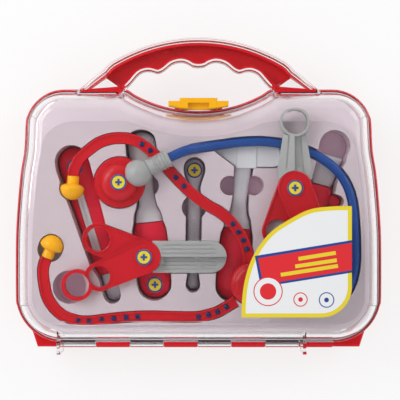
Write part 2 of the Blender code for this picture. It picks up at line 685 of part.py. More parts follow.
def lid_ears():
    """Two fins on the hinge side that the open lid stops on."""
    pitch = (HINGE_RIGHT - HINGE_LEFT) / KNUCKLES
    ears = []
    for name, left in (("left", HINGE_LEFT), ("right", HINGE_RIGHT - pitch)):
        ears.append(block("ear_" + name, (left, -HALF_HEIGHT, PARTING + EAR_LOW),
                          (left + EAR_WIDTH, -HALF_HEIGHT + EAR_DEPTH, PARTING + EAR_HIGH)))
    return ears


def make_lid():
    lid = lofted("lid_shell", shell_rings(LID_SHARES, FRONT_INSET, LID_DEPTH, 0, LID_BOTTOM, 1, 0), CLEAR)
    join(lid, prism("lid_handle", handle_outline(SHOULDER_Y - HANDLE_ROOT), LID_BOTTOM,
                    PARTING + HANDLE_HALF_THICKNESS, edge=SHELL_WALL))
    join(lid, *lid_ears())
    cavity = shell_rings(LID_SHARES, FRONT_INSET, LID_DEPTH, SHELL_WALL, LID_BOTTOM, 1, 0)
    cut(lid, lofted("lid_cavity", [(cavity[0][0], LID_BOTTOM - OVERRUN)] + cavity[1:]))
    grip_room = inset(handle_outline(SHOULDER_Y - HANDLE_WALL + GAP), HANDLE_WALL)
    handle_roof = PARTING + HANDLE_HALF_THICKNESS - HANDLE_WALL
    cut(lid, prism("lid_handle_cavity", grip_room, LID_BOTTOM - OVERRUN, handle_roof))
    join(lid, *[prism(f"lid_stop_{index}", stop, LID_BOTTOM, handle_roof + GAP)
                for index, stop in enumerate(stop_outlines())])
    cut(lid, hinge_room("lid"))
    join(lid, *knuckles("lid", 0, LID_BOTTOM, LID_BOTTOM + WEB_HEIGHT, RIM_BOTTOM_Y + SHELL_WALL + GAP))
    return lid


def label_outline():
    """Sticker on the lid's front: a straight foot, a rounded corner and a bowed upper left side."""
    foot_y = CASE_WIDTH * LABEL_FOOT_SHARE
    right = CASE_WIDTH * LABEL_RIGHT_SHARE
    corner = arc((right - LABEL_CORNER, foot_y + LABEL_CORNER), LABEL_CORNER, -90, 0, 6)
    bow = [Vector((CASE_WIDTH * across, CASE_WIDTH * up)) for across, up in LABEL_BOW_SHARES]
    return corner + bow


def make_label():
    return prism("front_label", label_outline(), CASE_FRONT, CASE_FRONT + LABEL_THICKNESS, PRINT_WHITE)


def make_hinge_pin():
    rod("hinge_pin", (0, HINGE_Y, HINGE_Z), (1, 0, 0), HINGE_PIN_RADIUS, HINGE_LEFT + GAP,
        HINGE_RIGHT - GAP,
        STEEL, steps=12)


# Latch

def latch_outline(half_width, outwards):
    """Plan of the latch between the hollow's arc and a straight front."""
    radius = DIP_RADIUS - RIM_LIP - GAP
    reach = math.degrees(math.asin(half_width / radius))
    edge = arc((0, DIP_CENTRE_Y), radius, -90 - reach, -90 + reach, 6)
    return edge + [Vector((half_width, DIP_Y + outwards)), Vector((-half_width, DIP_Y + outwards))]


def make_latch():
    top = PARTING + LATCH_RISE
    hook_low = top - LATCH_HOOK
    latch = prism("latch", latch_outline(LATCH_WING_HALF, LATCH_WING_OUT), hook_low, top, LATCH_YELLOW,
                  edge=GAP + GAP)
    join(latch, prism("latch_block", latch_outline(LATCH_BLOCK_HALF, LATCH_BLOCK_OUT), hook_low - GAP,
                      top + GAP,
                      edge=GAP + GAP))
    plate_out = DIP_Y + LATCH_BLOCK_OUT
    join(latch, block("latch_plate", (-LATCH_BLOCK_HALF, plate_out - LATCH_PLATE, LATCH_Z),
                      (LATCH_BLOCK_HALF, plate_out - GAP, hook_low + LATCH_PLATE)))
    join(latch, rod("latch_barrel", (0, LATCH_Y, LATCH_Z), (1, 0, 0), LATCH_BARREL_RADIUS,
                    -LATCH_BLOCK_HALF,
                    LATCH_BLOCK_HALF, steps=20))
    cut(latch, block("latch_recess", (-LATCH_RECESS_HALF, DIP_Y - OVERRUN, top - LATCH_RECESS_DEPTH),
                     (LATCH_RECESS_HALF, DIP_Y + LATCH_RECESS_OUT, top + OVERRUN)))
    cut(latch, rod("latch_bore", (0, LATCH_Y, LATCH_Z), (1, 0, 0), LATCH_PIN_RADIUS + GAP, -LATCH_WING_HALF,
                   LATCH_WING_HALF, steps=16))
    pin_half = LATCH_BLOCK_HALF + LATCH_EAR_WIDTH
    rod("latch_pin", (0, LATCH_Y, LATCH_Z), (1, 0, 0), LATCH_PIN_RADIUS, -pin_half, pin_half, STEEL,
        steps=12)
    return latch


# Lower instruments: share along the middle line, half width share and half thickness share of its length

THERMOMETER_SHARES = ((-0.14, 0.030, 0.040), (-0.125, 0.065, 0.056), (-0.08, 0.098, 0.066),
                      (0.0, 0.112, 0.070),
                        (0.10, 0.112, 0.070), (0.75, 0.082, 0.062), (0.84, 0.066, 0.052))
THERMOMETER_TIP_SHARES = ((0.845, 0.052, 0.048), (0.97, 0.054, 0.050), (1.02, 0.046, 0.044),
                          (1.05, 0.026, 0.028))
TOOL_GRIP_SHARES = ((0.50, 0.090, 0.076), (0.54, 0.103, 0.082), (0.70, 0.107, 0.084), (0.88, 0.103, 0.082),
                 (0.95, 0.086, 0.072), (0.99, 0.052, 0.048))
TOOL_NECK_SHARES = ((0.14, 0.064, 0.064), (0.22, 0.050, 0.050), (0.34, 0.052, 0.052), (0.40, 0.062, 0.058),
                 (0.44, 0.080, 0.070), (0.495, 0.090, 0.076))
OTOSCOPE_HEAD_SHARES = ((-0.09, 0.045, 0.045), (-0.075, 0.072, 0.070), (-0.02, 0.090, 0.082),
                        (0.06, 0.090, 0.082),
                          (0.12, 0.074, 0.070), (0.137, 0.060, 0.060))
PROBE_SHARES = ((-0.105, 0.034, 0.040), (-0.085, 0.068, 0.066), (-0.03, 0.094, 0.072), (0.03, 0.094, 0.072),
                  (0.10, 0.060, 0.066), (0.16, 0.044, 0.062), (0.30, 0.058, 0.066), (0.62, 0.058, 0.066),
                  (0.64, 0.040, 0.052), (0.92, 0.040, 0.050), (0.97, 0.052, 0.056), (1.02, 0.048, 0.050),
                  (1.05, 0.026, 0.030))
SYRINGE_SHARES = ((0.29, 0.105, 0.105), (0.33, 0.115, 0.115), (0.84, 0.108, 0.110), (0.90, 0.080, 0.080))
SYRINGE_NOZZLE_SHARES = ((0.905, 0.034, 0.034), (1.06, 0.026, 0.026))
PLUNGER_SHARES = ((-0.005, 0.125, 0.105), (0.03, 0.130, 0.110), (0.06, 0.115, 0.100), (0.24, 0.105, 0.090),
                    (0.28, 0.090, 0.080))
# Plan of the hammer's head from its middle: shares of the hammer's length
HAMMER_HEAD_SHARES = ((-0.205, 0.040), (-0.052, -0.078), (0.078, -0.078), (0.200, -0.076), (0.245, -0.045),
                      (0.245, 0.040), (0.200, 0.078), (-0.052, 0.080), (-0.180, 0.074))
HAMMER_HEAD_HALF_SHARE = 0.082


def ends_length(ends):
    return (Vector(ends[1]) - Vector(ends[0])).length


def resting(ends, *tables):
    """Height of a body's middle when it lies on the floor of its well."""
    thickest = max(station[2] for table in tables for station in table)
    return WELL_FLOOR + GAP + thickest * ends_length(ends)


def make_thermometer():
    middle = resting(THERMOMETER_ENDS, THERMOMETER_SHARES)
    body = moulded("thermometer_body", THERMOMETER_ENDS, THERMOMETER_SHARES, middle, TOY_RED)
    moulded("thermometer_tip", THERMOMETER_ENDS, THERMOMETER_TIP_SHARES, middle, TOY_GREY)
    length = ends_length(THERMOMETER_ENDS)
    start, end = Vector(THERMOMETER_ENDS[0]), Vector(THERMOMETER_ENDS[1])
    along = (end - start).normalized()
    across = along.orthogonal()
    offset = across * -SCALE_SHIFT_SHARE * length
    near = start + along * length * SCALE_START_SHARE + offset
    far = start + along * length * SCALE_END_SHARE + offset
    top = middle + THERMOMETER_SHARES[3][2] * length
    half = SCALE_HALF_WIDTH + GAP
    window = prism("thermometer_scale_room", capsule(near, half, far, half, 4),
                   top - SCALE_DEPTH - GAP, top + OVERRUN)
    cut(body, window)
    prism("thermometer_scale", capsule(near, SCALE_HALF_WIDTH, far, SCALE_HALF_WIDTH, 4), top - SCALE_DEPTH,
          top - SCALE_SINK, TOY_GREY)


def make_otoscope():
    middle = resting(OTOSCOPE_ENDS, TOOL_GRIP_SHARES)
    moulded("otoscope_handle", OTOSCOPE_ENDS, TOOL_GRIP_SHARES, middle, TOY_RED)
    moulded("otoscope_head", OTOSCOPE_ENDS, OTOSCOPE_HEAD_SHARES + TOOL_NECK_SHARES, middle, TOY_GREY)


def make_probe():
    middle = resting(PROBE_ENDS, PROBE_SHARES)
    moulded("ear_probe", PROBE_ENDS, PROBE_SHARES, middle, TOY_GREY)


def hammer_head_outline(margin):
    length = ends_length(HAMMER_ENDS)
    middle = Vector(HAMMER_ENDS[0])
    outline = [middle + Vector((across * length, up * length)) for across, up in HAMMER_HEAD_SHARES]
    return inset(outline, -margin)


def hammer_neck_stations():
    """Neck from the middle of the hammer's head down to its shoulder."""
    return ((0.0, *TOOL_NECK_SHARES[0][1:]),) + TOOL_NECK_SHARES[1:]


def make_hammer():
    middle = resting(HAMMER_ENDS, TOOL_GRIP_SHARES)
    moulded("hammer_handle", HAMMER_ENDS, TOOL_GRIP_SHARES, middle, TOY_RED)
    half = HAMMER_HEAD_HALF_SHARE * ends_length(HAMMER_ENDS)
    head = prism("hammer_head", hammer_head_outline(0), middle - half, middle + half, TOY_GREY,
                 edge=HAMMER_EDGE, both=True)
    join(head, moulded("hammer_neck", HAMMER_ENDS, hammer_neck_stations(), middle))


def flange_outline(margin):
    """Finger flange of the syringe, across its barrel."""
    length = ends_length(SYRINGE_ENDS)
    start, end = Vector(SYRINGE_ENDS[0]), Vector(SYRINGE_ENDS[1])
    along = (end - start).normalized()
    middle = start + along * length * FLANGE_SHARE
    reach = along.orthogonal() * length * FLANGE_REACH_SHARE
    half = length * FLANGE_HALF_SHARE + margin
    return capsule(middle - reach, half, middle + reach, half, 6)


def make_syringe():
    middle = resting(SYRINGE_ENDS, PLUNGER_SHARES, SYRINGE_SHARES)
    length = ends_length(SYRINGE_ENDS)
    start, end = Vector(SYRINGE_ENDS[0]), Vector(SYRINGE_ENDS[1])
    along = (end - start).normalized().to_3d()
    barrel = moulded("syringe_barrel", SYRINGE_ENDS, SYRINGE_SHARES, middle, TOY_RED)
    half = FLANGE_THICKNESS / 2
    join(barrel, prism("syringe_flange", flange_outline(0), middle - half, middle + half, edge=GAP + GAP,
                       both=True))
    centre = (start.x, start.y, middle)
    bore_start = length * SYRINGE_SHARES[0][0]
    cut(barrel, rod("syringe_bore", centre, along, PLUNGER_ROD_RADIUS + GAP, bore_start - OVERRUN,
                    bore_start + PLUNGER_ROD_REACH + PLUNGER_TRAVEL, steps=16))
    plunger = moulded("syringe_plunger", SYRINGE_ENDS, PLUNGER_SHARES, middle, TOY_GREY)
    join(plunger, rod("syringe_rod", centre, along, PLUNGER_ROD_RADIUS, length * PLUNGER_SHARES[-2][0],
                      bore_start + PLUNGER_ROD_REACH, steps=16))
    moulded("syringe_nozzle", SYRINGE_ENDS, SYRINGE_NOZZLE_SHARES, middle, TOY_GREY, sides=12)
    hang("plunger_slide", (start.x, start.y, middle), [plunger])


# Stethoscope

def in_case(shares):
    return [Vector((CASE_WIDTH * across, CASE_WIDTH * up)) for across, up in shares]


def smoothed(points, steps):
    """Points along a smooth curve through a row of places."""
    curve = []
    for index in range(len(points) - 1):
        before = points[max(index - 1, 0)]
        first, second = points[index], points[index + 1]
        after = points[min(index + 2, len(points) - 1)]
        for step in range(steps):
            t = step / steps
            curve.append(0.5 * (2 * first + (second - before) * t
                                + (2 * before - 5 * first + 4 * second - after) * t ** 2
                                + (3 * first - before - 3 * second + after) * t ** 3))
    return curve + [points[-1].copy()]


def band_piece(name, shares):
    """One arm of the headset band, with the shallow channel along its front."""
    path = in_case(shares)
    low = SEAT_FLOOR + GAP
    top = low + BAND_THICKNESS
    arm = prism(name, ribbon(path, BAND_WIDTH / 2), low, top, TOY_RED, edge=GAP + GAP)
    cut(arm, prism(name + "_channel", ribbon(path, BAND_GROOVE / 2), top - BAND_GROOVE_DEPTH,
                   top + OVERRUN))


def make_headset():
    """Red band with its studs, the junction and the two ear tips."""
    band_piece("headset_upper_arm", UPPER_BAND_SHARES)
    band_piece("headset_lower_arm", LOWER_BAND_SHARES)
    low = SEAT_FLOOR + GAP
    floor = low + BAND_THICKNESS - BAND_GROOVE_DEPTH
    stud = ((0, 0), (STUD_RADIUS, 0), (STUD_RADIUS * 0.85, STUD_HEIGHT), (0, STUD_HEIGHT))
    for index, place in enumerate(in_case(STUD_SHARES), 1):
        turned(f"headset_stud_{index:02d}", stud, (place.x, place.y, floor + GAP), (0, 0, 1), STUD_BLUE,
               steps=8)
    profile = ((0, 0), (JUNCTION_RADIUS * 0.94, 0), (JUNCTION_RADIUS, JUNCTION_HEIGHT * 0.10),
               (JUNCTION_RADIUS, JUNCTION_HEIGHT * 0.52), (JUNCTION_RADIUS * 0.93, JUNCTION_HEIGHT * 0.72),
               (JUNCTION_RADIUS * 0.72, JUNCTION_HEIGHT * 0.90),
               (JUNCTION_RADIUS * 0.40, JUNCTION_HEIGHT * 0.98),
               (0, JUNCTION_HEIGHT))
    turned("headset_junction", profile, (JUNCTION_X, JUNCTION_Y, low), (0, 0, 1), TOY_RED, steps=32)


def ear_tip_frame(shares):
    """Place and direction of an ear tip at the end of a band."""
    end, before = in_case(shares[:2])
    return end, (end - before).normalized()


def ear_tip_height():
    return SEAT_FLOOR + GAP + BAND_THICKNESS / 2


def make_ear_tip(name, shares):
    end, direction = ear_tip_frame(shares)
    length, radius, stem = EAR_TIP_LENGTH, EAR_TIP_RADIUS, EAR_STEM_RADIUS
    profile = ((0, 0), (stem, 0), (stem, length * 0.32), (radius * 0.80, length * 0.38),
               (radius * 0.98, length * 0.44), (radius, length * 0.52), (radius * 0.94, length * 0.66),
               (radius * 0.78, length * 0.80), (radius * 0.52, length * 0.92),
               (radius * 0.25, length * 0.98),
               (0, length))
    start = end + direction * GAP
    turned(name, profile, (start.x, start.y, ear_tip_height()), (direction.x, direction.y, 0), TIP_YELLOW,
           steps=20)


def neck_direction():
    angle = math.radians(NECK_ANGLE)
    return Vector((math.cos(angle), math.sin(angle), 0))


def make_chest_piece():
    low = SEAT_FLOOR + GAP
    radius, rim, rise, dome = CHEST_RADIUS, CHEST_RIM, CHEST_RISE, CHEST_DOME_RADIUS
    profile = ((0, 0), (radius * 0.94, 0), (radius, rim * 0.15), (radius, rim * 0.75), (radius * 0.95, rim),
               (dome * 1.04, rim * 1.04), (dome, rim * 1.15), (dome * 0.97, rise * 0.72),
               (dome * 0.86, rise * 0.88),
               (dome * 0.62, rise * 0.97), (0, rise))
    turned("chest_dish", profile, (CHEST_X, CHEST_Y, low), (0, 0, 1), TOY_RED, steps=32)
    aim = neck_direction()
    angles = [math.radians(turn) for turn in range(0, 150, 21)]
    ball = [(NECK_BALL_RADIUS * math.sin(angle), NECK_BALL_OUT - NECK_BALL_RADIUS * math.cos(angle))
            for angle in angles]
    steps = ((COLLAR_START, 0.80), (COLLAR_START, 0.90), (COLLAR_START * 1.17, 0.90),
             (COLLAR_START * 1.17, 0.97), (COLLAR_START * 1.40, 0.97), (COLLAR_START * 1.40, 1.0),
             (COLLAR_END, 1.0))
    collar = [(COLLAR_RADIUS * share, out) for out, share in steps]
    socket = HOSE_RADIUS + GAP
    hollow = [(socket, COLLAR_END), (socket, COLLAR_END - HOSE_SOCKET), (0, COLLAR_END - HOSE_SOCKET)]
    neck = turned("chest_neck", ball + collar + hollow, (CHEST_X, CHEST_Y, NECK_HEIGHT), aim, TOY_GREY,
                  steps=24)
    room = [(0, 0)] + [(reach + GAP, height + GAP) for reach, height in profile[1:-1]] + [(0, rise + GAP)]
    cut(neck, turned("dish_room", room, (CHEST_X, CHEST_Y, low), (0, 0, 1), steps=32))


def make_hose():
    route = [Vector(point) for point in HOSE_ROUTE]
    points = smoothed(route, 3)
    curve = bpy.data.curves.new("stethoscope_hose", "CURVE")
    curve.dimensions = "3D"
    curve.bevel_depth = HOSE_RADIUS
    curve.bevel_resolution = 3
    curve.use_fill_caps = True
    line = curve.splines.new("POLY")
    line.points.add(len(points) - 1)
    for knot, point in zip(line.points, points):
        knot.co = (*point, 1)
    curve.materials.append(HOSE_BLUE)
    hose = bpy.data.objects.new("stethoscope_hose", curve)
    bpy.context.scene.collection.objects.link(hose)
    return points


# Scissors and ring forceps

def pivot_bore(name, place, low, high):
    return rod(name, (place[0], place[1], 0), (0, 0, 1), RIVET_RADIUS + GAP, low - OVERRUN,
               high + OVERRUN, steps=16)


def shifted(outline, place):
    return [Vector((point[0] + place[0], point[1] + place[1])) for point in outline]


def handle_half(name, place, low, high, head_radius, rings, tongue):
    """Red half: a head disc running into its finger rings, with room for the blade's tongue."""
    parts, holes = [], []
    for index, (x, y, radius, wall) in enumerate(rings):
        centre = (place[0] + x, place[1] + y)
        if index == 0:
            outline = capsule(place, head_radius, centre, radius, 12)
        else:
            outline = disc(centre, radius)
        parts.append(outline)
        holes.append(disc(centre, radius - wall))
    item = prism(name, parts[0], low, high, TOY_RED, edge=GAP + GAP)
    join(item, *[prism(f"{name}_loop_{index}", outline, low, high, edge=GAP + GAP)
                 for index, outline in enumerate(parts[1:])])
    cut(item, *[prism(f"{name}_hole_{index}", outline, low - OVERRUN, high + OVERRUN)
                for index, outline in enumerate(holes)])
    cut(item, prism(name + "_tongue_room", inset(tongue, -GAP), low - OVERRUN,
                    low + TONGUE_THICKNESS + GAP))
    cut(item, pivot_bore(name + "_bore", place, low, high))
    return item


def blade_half(name, place, low, high, head_radius, outlines, tongue, grooves, ring_hole=None):
    """Grey half: the blade or jaw outside the head disc and its thin tongue under the disc."""
    item = prism(name, outlines[0], low, high, TOY_GREY, edge=GAP)
    join(item, *[prism(f"{name}_part_{index}", outline, low, high, edge=GAP)
                 for index, outline in enumerate(outlines[1:])])
    cut(item, rod(name + "_head_room", (place[0], place[1], 0), (0, 0, 1), head_radius + GAP, low - OVERRUN,
                  high + OVERRUN, steps=32))
    join(item, prism(name + "_tongue", tongue, low, low + TONGUE_THICKNESS))
    if ring_hole:
        cut(item, prism(name + "_ring_hole", ring_hole, low - OVERRUN, high + OVERRUN))
    cut(item, *[prism(f"{name}_groove_{index}", groove, high - BLADE_GROOVE_DEPTH, high + OVERRUN)
                for index, groove in enumerate(grooves)])
    cut(item, pivot_bore(name + "_bore", place, low, high))
    return item


def scissors_rings(shares, wall):
    x, y, radius = shares
    return (x * SCISSORS_REACH, y * SCISSORS_REACH, radius * SCISSORS_REACH, wall)


def scissor_blade_outline(side):
    """Half blade with a quarter-round point, on one side of the middle line."""
    root = SCISSORS_HEAD * 0.5
    point = arc((SCISSORS_REACH - BLADE_HALF_WIDTH, BLADE_SPLIT / 2), BLADE_HALF_WIDTH, 0, 90, 8)
    outline = [Vector((root, BLADE_SPLIT / 2))] + point + [Vector((root, BLADE_HALF_WIDTH))]
    if side < 0:
        outline = [Vector((spot.x, -spot.y)) for spot in reversed(outline)]
    return outline


def scissor_grooves(side):
    grooves = []
    for index in range(BLADE_GROOVES):
        middle = side * BLADE_HALF_WIDTH * (index + 1) / (BLADE_GROOVES + 1)
        half = BLADE_GROOVE_WIDTH / 2
        near, far = SCISSORS_HEAD + BLADE_GROOVE_WIDTH, SCISSORS_REACH - BLADE_HALF_WIDTH * 0.7
        grooves.append(((near, middle - half), (far, middle - half), (far, middle + half),
                        (near, middle + half)))
    return grooves


def make_scissors():
    place = (SCISSORS_X, SCISSORS_Y)
    rear_low = SEAT_FLOOR + GAP
    front_low = TABLE_TOP + GAP
    rear_high = front_low - GAP
    front_high = front_low + SCISSORS_THICKNESS
    head = SCISSORS_HEAD
    tongue = shifted(tongue_outline(head), place)
    moving = []
    for name, low, high, side, rings in (
            ("rear", rear_low, rear_high, -1, (scissors_rings(REAR_RING_SHARES, RING_WALL),)),
            ("front", front_low, front_high, 1, (scissors_rings(FRONT_RING_SHARES, RING_WALL),
                                                 scissors_rings(FRONT_LOOP_SHARES, LOOP_WALL)))):
        handle = handle_half(f"scissors_{name}_handle", place, low, high, head, rings, tongue)
        blade = blade_half(f"scissors_{name}_blade", place, low, high, head,
                           [shifted(scissor_blade_outline(side), place)], tongue,
                           [shifted(groove, place) for groove in scissor_grooves(side)])
        if name == "front":
            moving += [handle, blade]
    rod("scissors_rivet", (*place, 0), (0, 0, 1), RIVET_RADIUS, rear_low + GAP, front_high - GAP, STEEL,
        steps=12)
    moving.append(sticker("scissors_sticker", place, front_high + GAP))
    hang("scissors_pivot", (*place, front_low), moving)


def tongue_outline(head_radius):
    """Tongue of a blade under its head disc, along the blade's direction."""
    near, far = -RIVET_RADIUS - RIVET_RADIUS, head_radius + TONGUE_THICKNESS
    half = TONGUE_HALF_WIDTH
    return [Vector(corner) for corner in ((near, -half), (far, -half), (far, half), (near, half))]


def sticker(name, place, low):
    """Round printed sticker."""
    return prism(name, disc(place, STICKER_RADIUS), low, low + LABEL_THICKNESS, PRINT_YELLOW)


def quarter_turned(outline):
    """An outline drawn along X, turned to lie along Y."""
    return [Vector((-point[1], point[0])) for point in outline]


def jaw_outline(side):
    """Half a jaw from the head to the ring, to one side of the middle line."""
    split = BLADE_SPLIT / 2
    (wide, low), (narrow, high) = [(across * FORCEPS_REACH, along * FORCEPS_REACH)
                                   for across, along in JAW_SHARES]
    root = FORCEPS_HEAD * 0.5
    points = [(split, root), (wide, root), (wide, low), (narrow, high), (split, high)]
    if side < 0:
        points = [(-x, y) for x, y in reversed(points)]
    return points


def jaw_groove(side):
    """Long groove down the middle of half a jaw."""
    (wide, low), (narrow, high) = [(across * FORCEPS_REACH, along * FORCEPS_REACH)
                                   for across, along in JAW_SHARES]
    half = BLADE_GROOVE_WIDTH / 2
    points = [(wide / 2 - half, low), (wide / 2 + half, low), (narrow / 2 + half, high),
              (narrow / 2 - half, high)]
    if side < 0:
        points = [(-x, y) for x, y in reversed(points)]
    return points


def forceps_rings(side):
    across, along, radius = FORCEPS_FINGER_SHARES
    return ((side * across * FORCEPS_REACH, along * FORCEPS_REACH, radius * FORCEPS_REACH,
             FORCEPS_FINGER_WALL),)


def make_forceps():
    place = (FORCEPS_X, FORCEPS_Y)
    rear_low = TABLE_TOP + GAP
    rear_high = rear_low + FORCEPS_THICKNESS
    front_low = rear_high + GAP
    front_high = front_low + FORCEPS_THICKNESS
    tongue = shifted(quarter_turned(tongue_outline(FORCEPS_HEAD)), place)
    ring_place = (place[0], place[1] + FORCEPS_REACH)
    ring = disc(ring_place, FORCEPS_RING)
    hole = disc(ring_place, FORCEPS_RING - FORCEPS_RING_WALL)
    moving = []
    for name, low, high, side in (("rear", rear_low, rear_high, -1), ("front", front_low, front_high, 1)):
        handle = handle_half(f"forceps_{name}_handle", place, low, high, FORCEPS_HEAD,
                             forceps_rings(side), tongue)
        jaw = blade_half(f"forceps_{name}_jaw", place, low, high, FORCEPS_HEAD,
                         [shifted(jaw_outline(-side), place), ring], tongue,
                         [shifted(jaw_groove(-side), place)], hole)
        if name == "front":
            moving += [handle, jaw]
    rod("forceps_rivet", (*place, 0), (0, 0, 1), RIVET_RADIUS, rear_low + GAP, front_high - GAP, STEEL,
        steps=12)
    moving.append(sticker("forceps_sticker", place, front_high + GAP))
    hang("forceps_pivot", (*place, front_low), moving)


def make_stickers():
    """Stickers of the instruments that lie still."""
    sticker("chest_sticker", (CHEST_X, CHEST_Y), SEAT_FLOOR + GAP + CHEST_RISE + GAP)
    for name, ends, share, stations in (("thermometer_sticker", THERMOMETER_ENDS, 0.04, THERMOMETER_SHARES),
                                        ("probe_sticker", PROBE_ENDS, 0.0, PROBE_SHARES),
                                        ("otoscope_sticker", OTOSCOPE_ENDS, 0.90, TOOL_GRIP_SHARES)):
        place = Vector(ends[0]).lerp(Vector(ends[1]), share)
        half = max(station[2] for station in stations) * ends_length(ends)
        sticker(name, place, WELL_FLOOR + GAP + half + half + GAP)


# Tray

def deep_wells(margin):
    """Outlines of the wells of the lower instruments."""
    thermometer = THERMOMETER_SHARES[:-1] + THERMOMETER_TIP_SHARES
    otoscope = OTOSCOPE_HEAD_SHARES[:-1] + TOOL_NECK_SHARES + TOOL_GRIP_SHARES[1:]
    plunger = ((PLUNGER_SHARES[0][0] - PLUNGER_TRAVEL / ends_length(SYRINGE_ENDS), *PLUNGER_SHARES[1][1:]),)
    syringe = plunger + PLUNGER_SHARES[1:-1] + SYRINGE_SHARES
    outlines = [silhouette(THERMOMETER_ENDS, thermometer, margin),
                silhouette(OTOSCOPE_ENDS, otoscope, margin),
                silhouette(PROBE_ENDS, PROBE_SHARES, margin),
                silhouette(HAMMER_ENDS, hammer_neck_stations() + TOOL_GRIP_SHARES[1:], margin),
                hammer_head_outline(margin), silhouette(SYRINGE_ENDS, syringe, margin),
                silhouette(SYRINGE_ENDS, SYRINGE_NOZZLE_SHARES, margin + FIT), flange_outline(margin)]
    for across, up, radius in FINGER_WELL_SHARES:
        outlines.append(disc((CASE_WIDTH * across, CASE_WIDTH * up), CASE_WIDTH * radius + margin - FIT))
    return outlines


def ear_tip_wells(margin):
    outlines = []
    for shares in (UPPER_BAND_SHARES, LOWER_BAND_SHARES):
        end, direction = ear_tip_frame(shares)
        first = end + direction * EAR_TIP_RADIUS * 0.8
        second = end + direction * (EAR_TIP_LENGTH - EAR_TIP_RADIUS + FIT)
        outlines.append(capsule(first, EAR_TIP_RADIUS + margin, second, EAR_TIP_RADIUS + margin))
    return outlines


def seats(margin):
    """Outlines of the seats of the band, the junction, the chest piece and the scissors' rear half."""
    place = (SCISSORS_X, SCISSORS_Y)
    ring = scissors_rings(REAR_RING_SHARES, RING_WALL)
    return [ribbon(in_case(UPPER_BAND_SHARES), BAND_WIDTH / 2 + margin),
            ribbon(in_case(LOWER_BAND_SHARES), BAND_WIDTH / 2 + margin),
            disc((JUNCTION_X, JUNCTION_Y), JUNCTION_RADIUS + margin),
            disc((CHEST_X, CHEST_Y), CHEST_RADIUS + margin),
            capsule(place, SCISSORS_HEAD + margin, (place[0] + ring[0], place[1] + ring[1]),
                    ring[2] + margin, 12),
            inset(shifted(scissor_blade_outline(-1), place), -margin)]


def make_tray(hose_points):
    flange_low = TRAY_REST + GAP
    tray = prism("tray", inset(body_outline(), SHELL_WALL), flange_low, flange_low + TRAY_WALL, TRAY_LILAC)
    join(tray, prism("tray_table", table_outline(0), flange_low, TABLE_TOP, edge=TRAY_WALL))
    cut(tray, prism("tray_under", table_outline(TRAY_WALL), flange_low - OVERRUN, TABLE_TOP - TRAY_WALL))
    hose = [Vector((point.x, point.y)) for point in hose_points if point.z < TABLE_TOP + HOSE_RADIUS + FIT]
    groups = (("well", deep_wells, FIT, WELL_FLOOR),
              ("ear_tip_well", ear_tip_wells, SEAT_FIT, EAR_TIP_FLOOR),
              ("seat", seats, SEAT_FIT, SEAT_FLOOR))
    walls = [prism("hose_wall", ribbon(hose, HOSE_RADIUS + SEAT_FIT + TRAY_WALL), HOSE_FLOOR - TRAY_WALL,
                   TABLE_TOP)]
    rooms = [prism("hose_room", ribbon(hose, HOSE_RADIUS + SEAT_FIT), HOSE_FLOOR, TABLE_TOP + OVERRUN)]
    for name, outlines, fit, floor in groups:
        walls += [prism(f"{name}_wall_{index}", outline, floor - TRAY_WALL, TABLE_TOP)
                  for index, outline in enumerate(outlines(fit + TRAY_WALL))]
        rooms += [prism(f"{name}_room_{index}", outline, floor, TABLE_TOP + OVERRUN)
                  for index, outline in enumerate(outlines(fit))]
    join(tray, *walls)
    cut(tray, *rooms)


make_base()
lid_pieces = [make_lid(), make_label()]
hang("lid_hinge", (0, HINGE_Y, HINGE_Z), lid_pieces)
make_hinge_pin()
hang("latch_hinge", (0, LATCH_Y, LATCH_Z), [make_latch()])
make_thermometer()
make_otoscope()
make_probe()
make_hammer()
make_syringe()
make_headset()
make_ear_tip("ear_tip_left", UPPER_BAND_SHARES)
make_ear_tip("ear_tip_lower", LOWER_BAND_SHARES)
make_chest_piece()
make_scissors()
make_forceps()
make_stickers()
make_tray(make_hose())
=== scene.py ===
"""Toy doctor case lying on its back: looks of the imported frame, and the studio that it is seen in."""
import math

import bmesh
import bpy
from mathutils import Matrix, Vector


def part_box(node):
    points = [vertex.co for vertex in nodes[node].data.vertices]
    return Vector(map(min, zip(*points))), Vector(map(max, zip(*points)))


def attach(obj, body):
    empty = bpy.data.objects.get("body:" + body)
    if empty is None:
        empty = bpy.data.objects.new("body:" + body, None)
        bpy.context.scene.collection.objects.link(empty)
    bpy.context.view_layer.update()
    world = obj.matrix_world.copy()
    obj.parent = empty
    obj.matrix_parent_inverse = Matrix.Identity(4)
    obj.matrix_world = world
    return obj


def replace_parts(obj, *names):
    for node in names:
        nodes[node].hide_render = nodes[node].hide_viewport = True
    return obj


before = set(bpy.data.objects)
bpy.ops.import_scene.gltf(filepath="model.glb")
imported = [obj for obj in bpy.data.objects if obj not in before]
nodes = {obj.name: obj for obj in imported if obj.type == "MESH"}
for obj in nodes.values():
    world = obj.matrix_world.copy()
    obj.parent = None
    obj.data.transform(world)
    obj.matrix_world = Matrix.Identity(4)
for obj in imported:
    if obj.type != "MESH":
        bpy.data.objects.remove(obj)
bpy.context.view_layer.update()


# Studio: a white table under the case, a soft lamp on each side and one in front, and a camera that looks
# straight down from 800 mm above the parting face.

MM = 0.001
camera_data = bpy.data.cameras.new("camera")
camera_data.sensor_width = 36
camera_data.lens = 100.5
camera = bpy.data.objects.new("camera", camera_data)
bpy.context.scene.collection.objects.link(camera)
camera.location = (1.07 * MM, -4.55 * MM, 844 * MM)
bpy.context.scene.camera = camera
bpy.context.scene.view_settings.view_transform = "Standard"


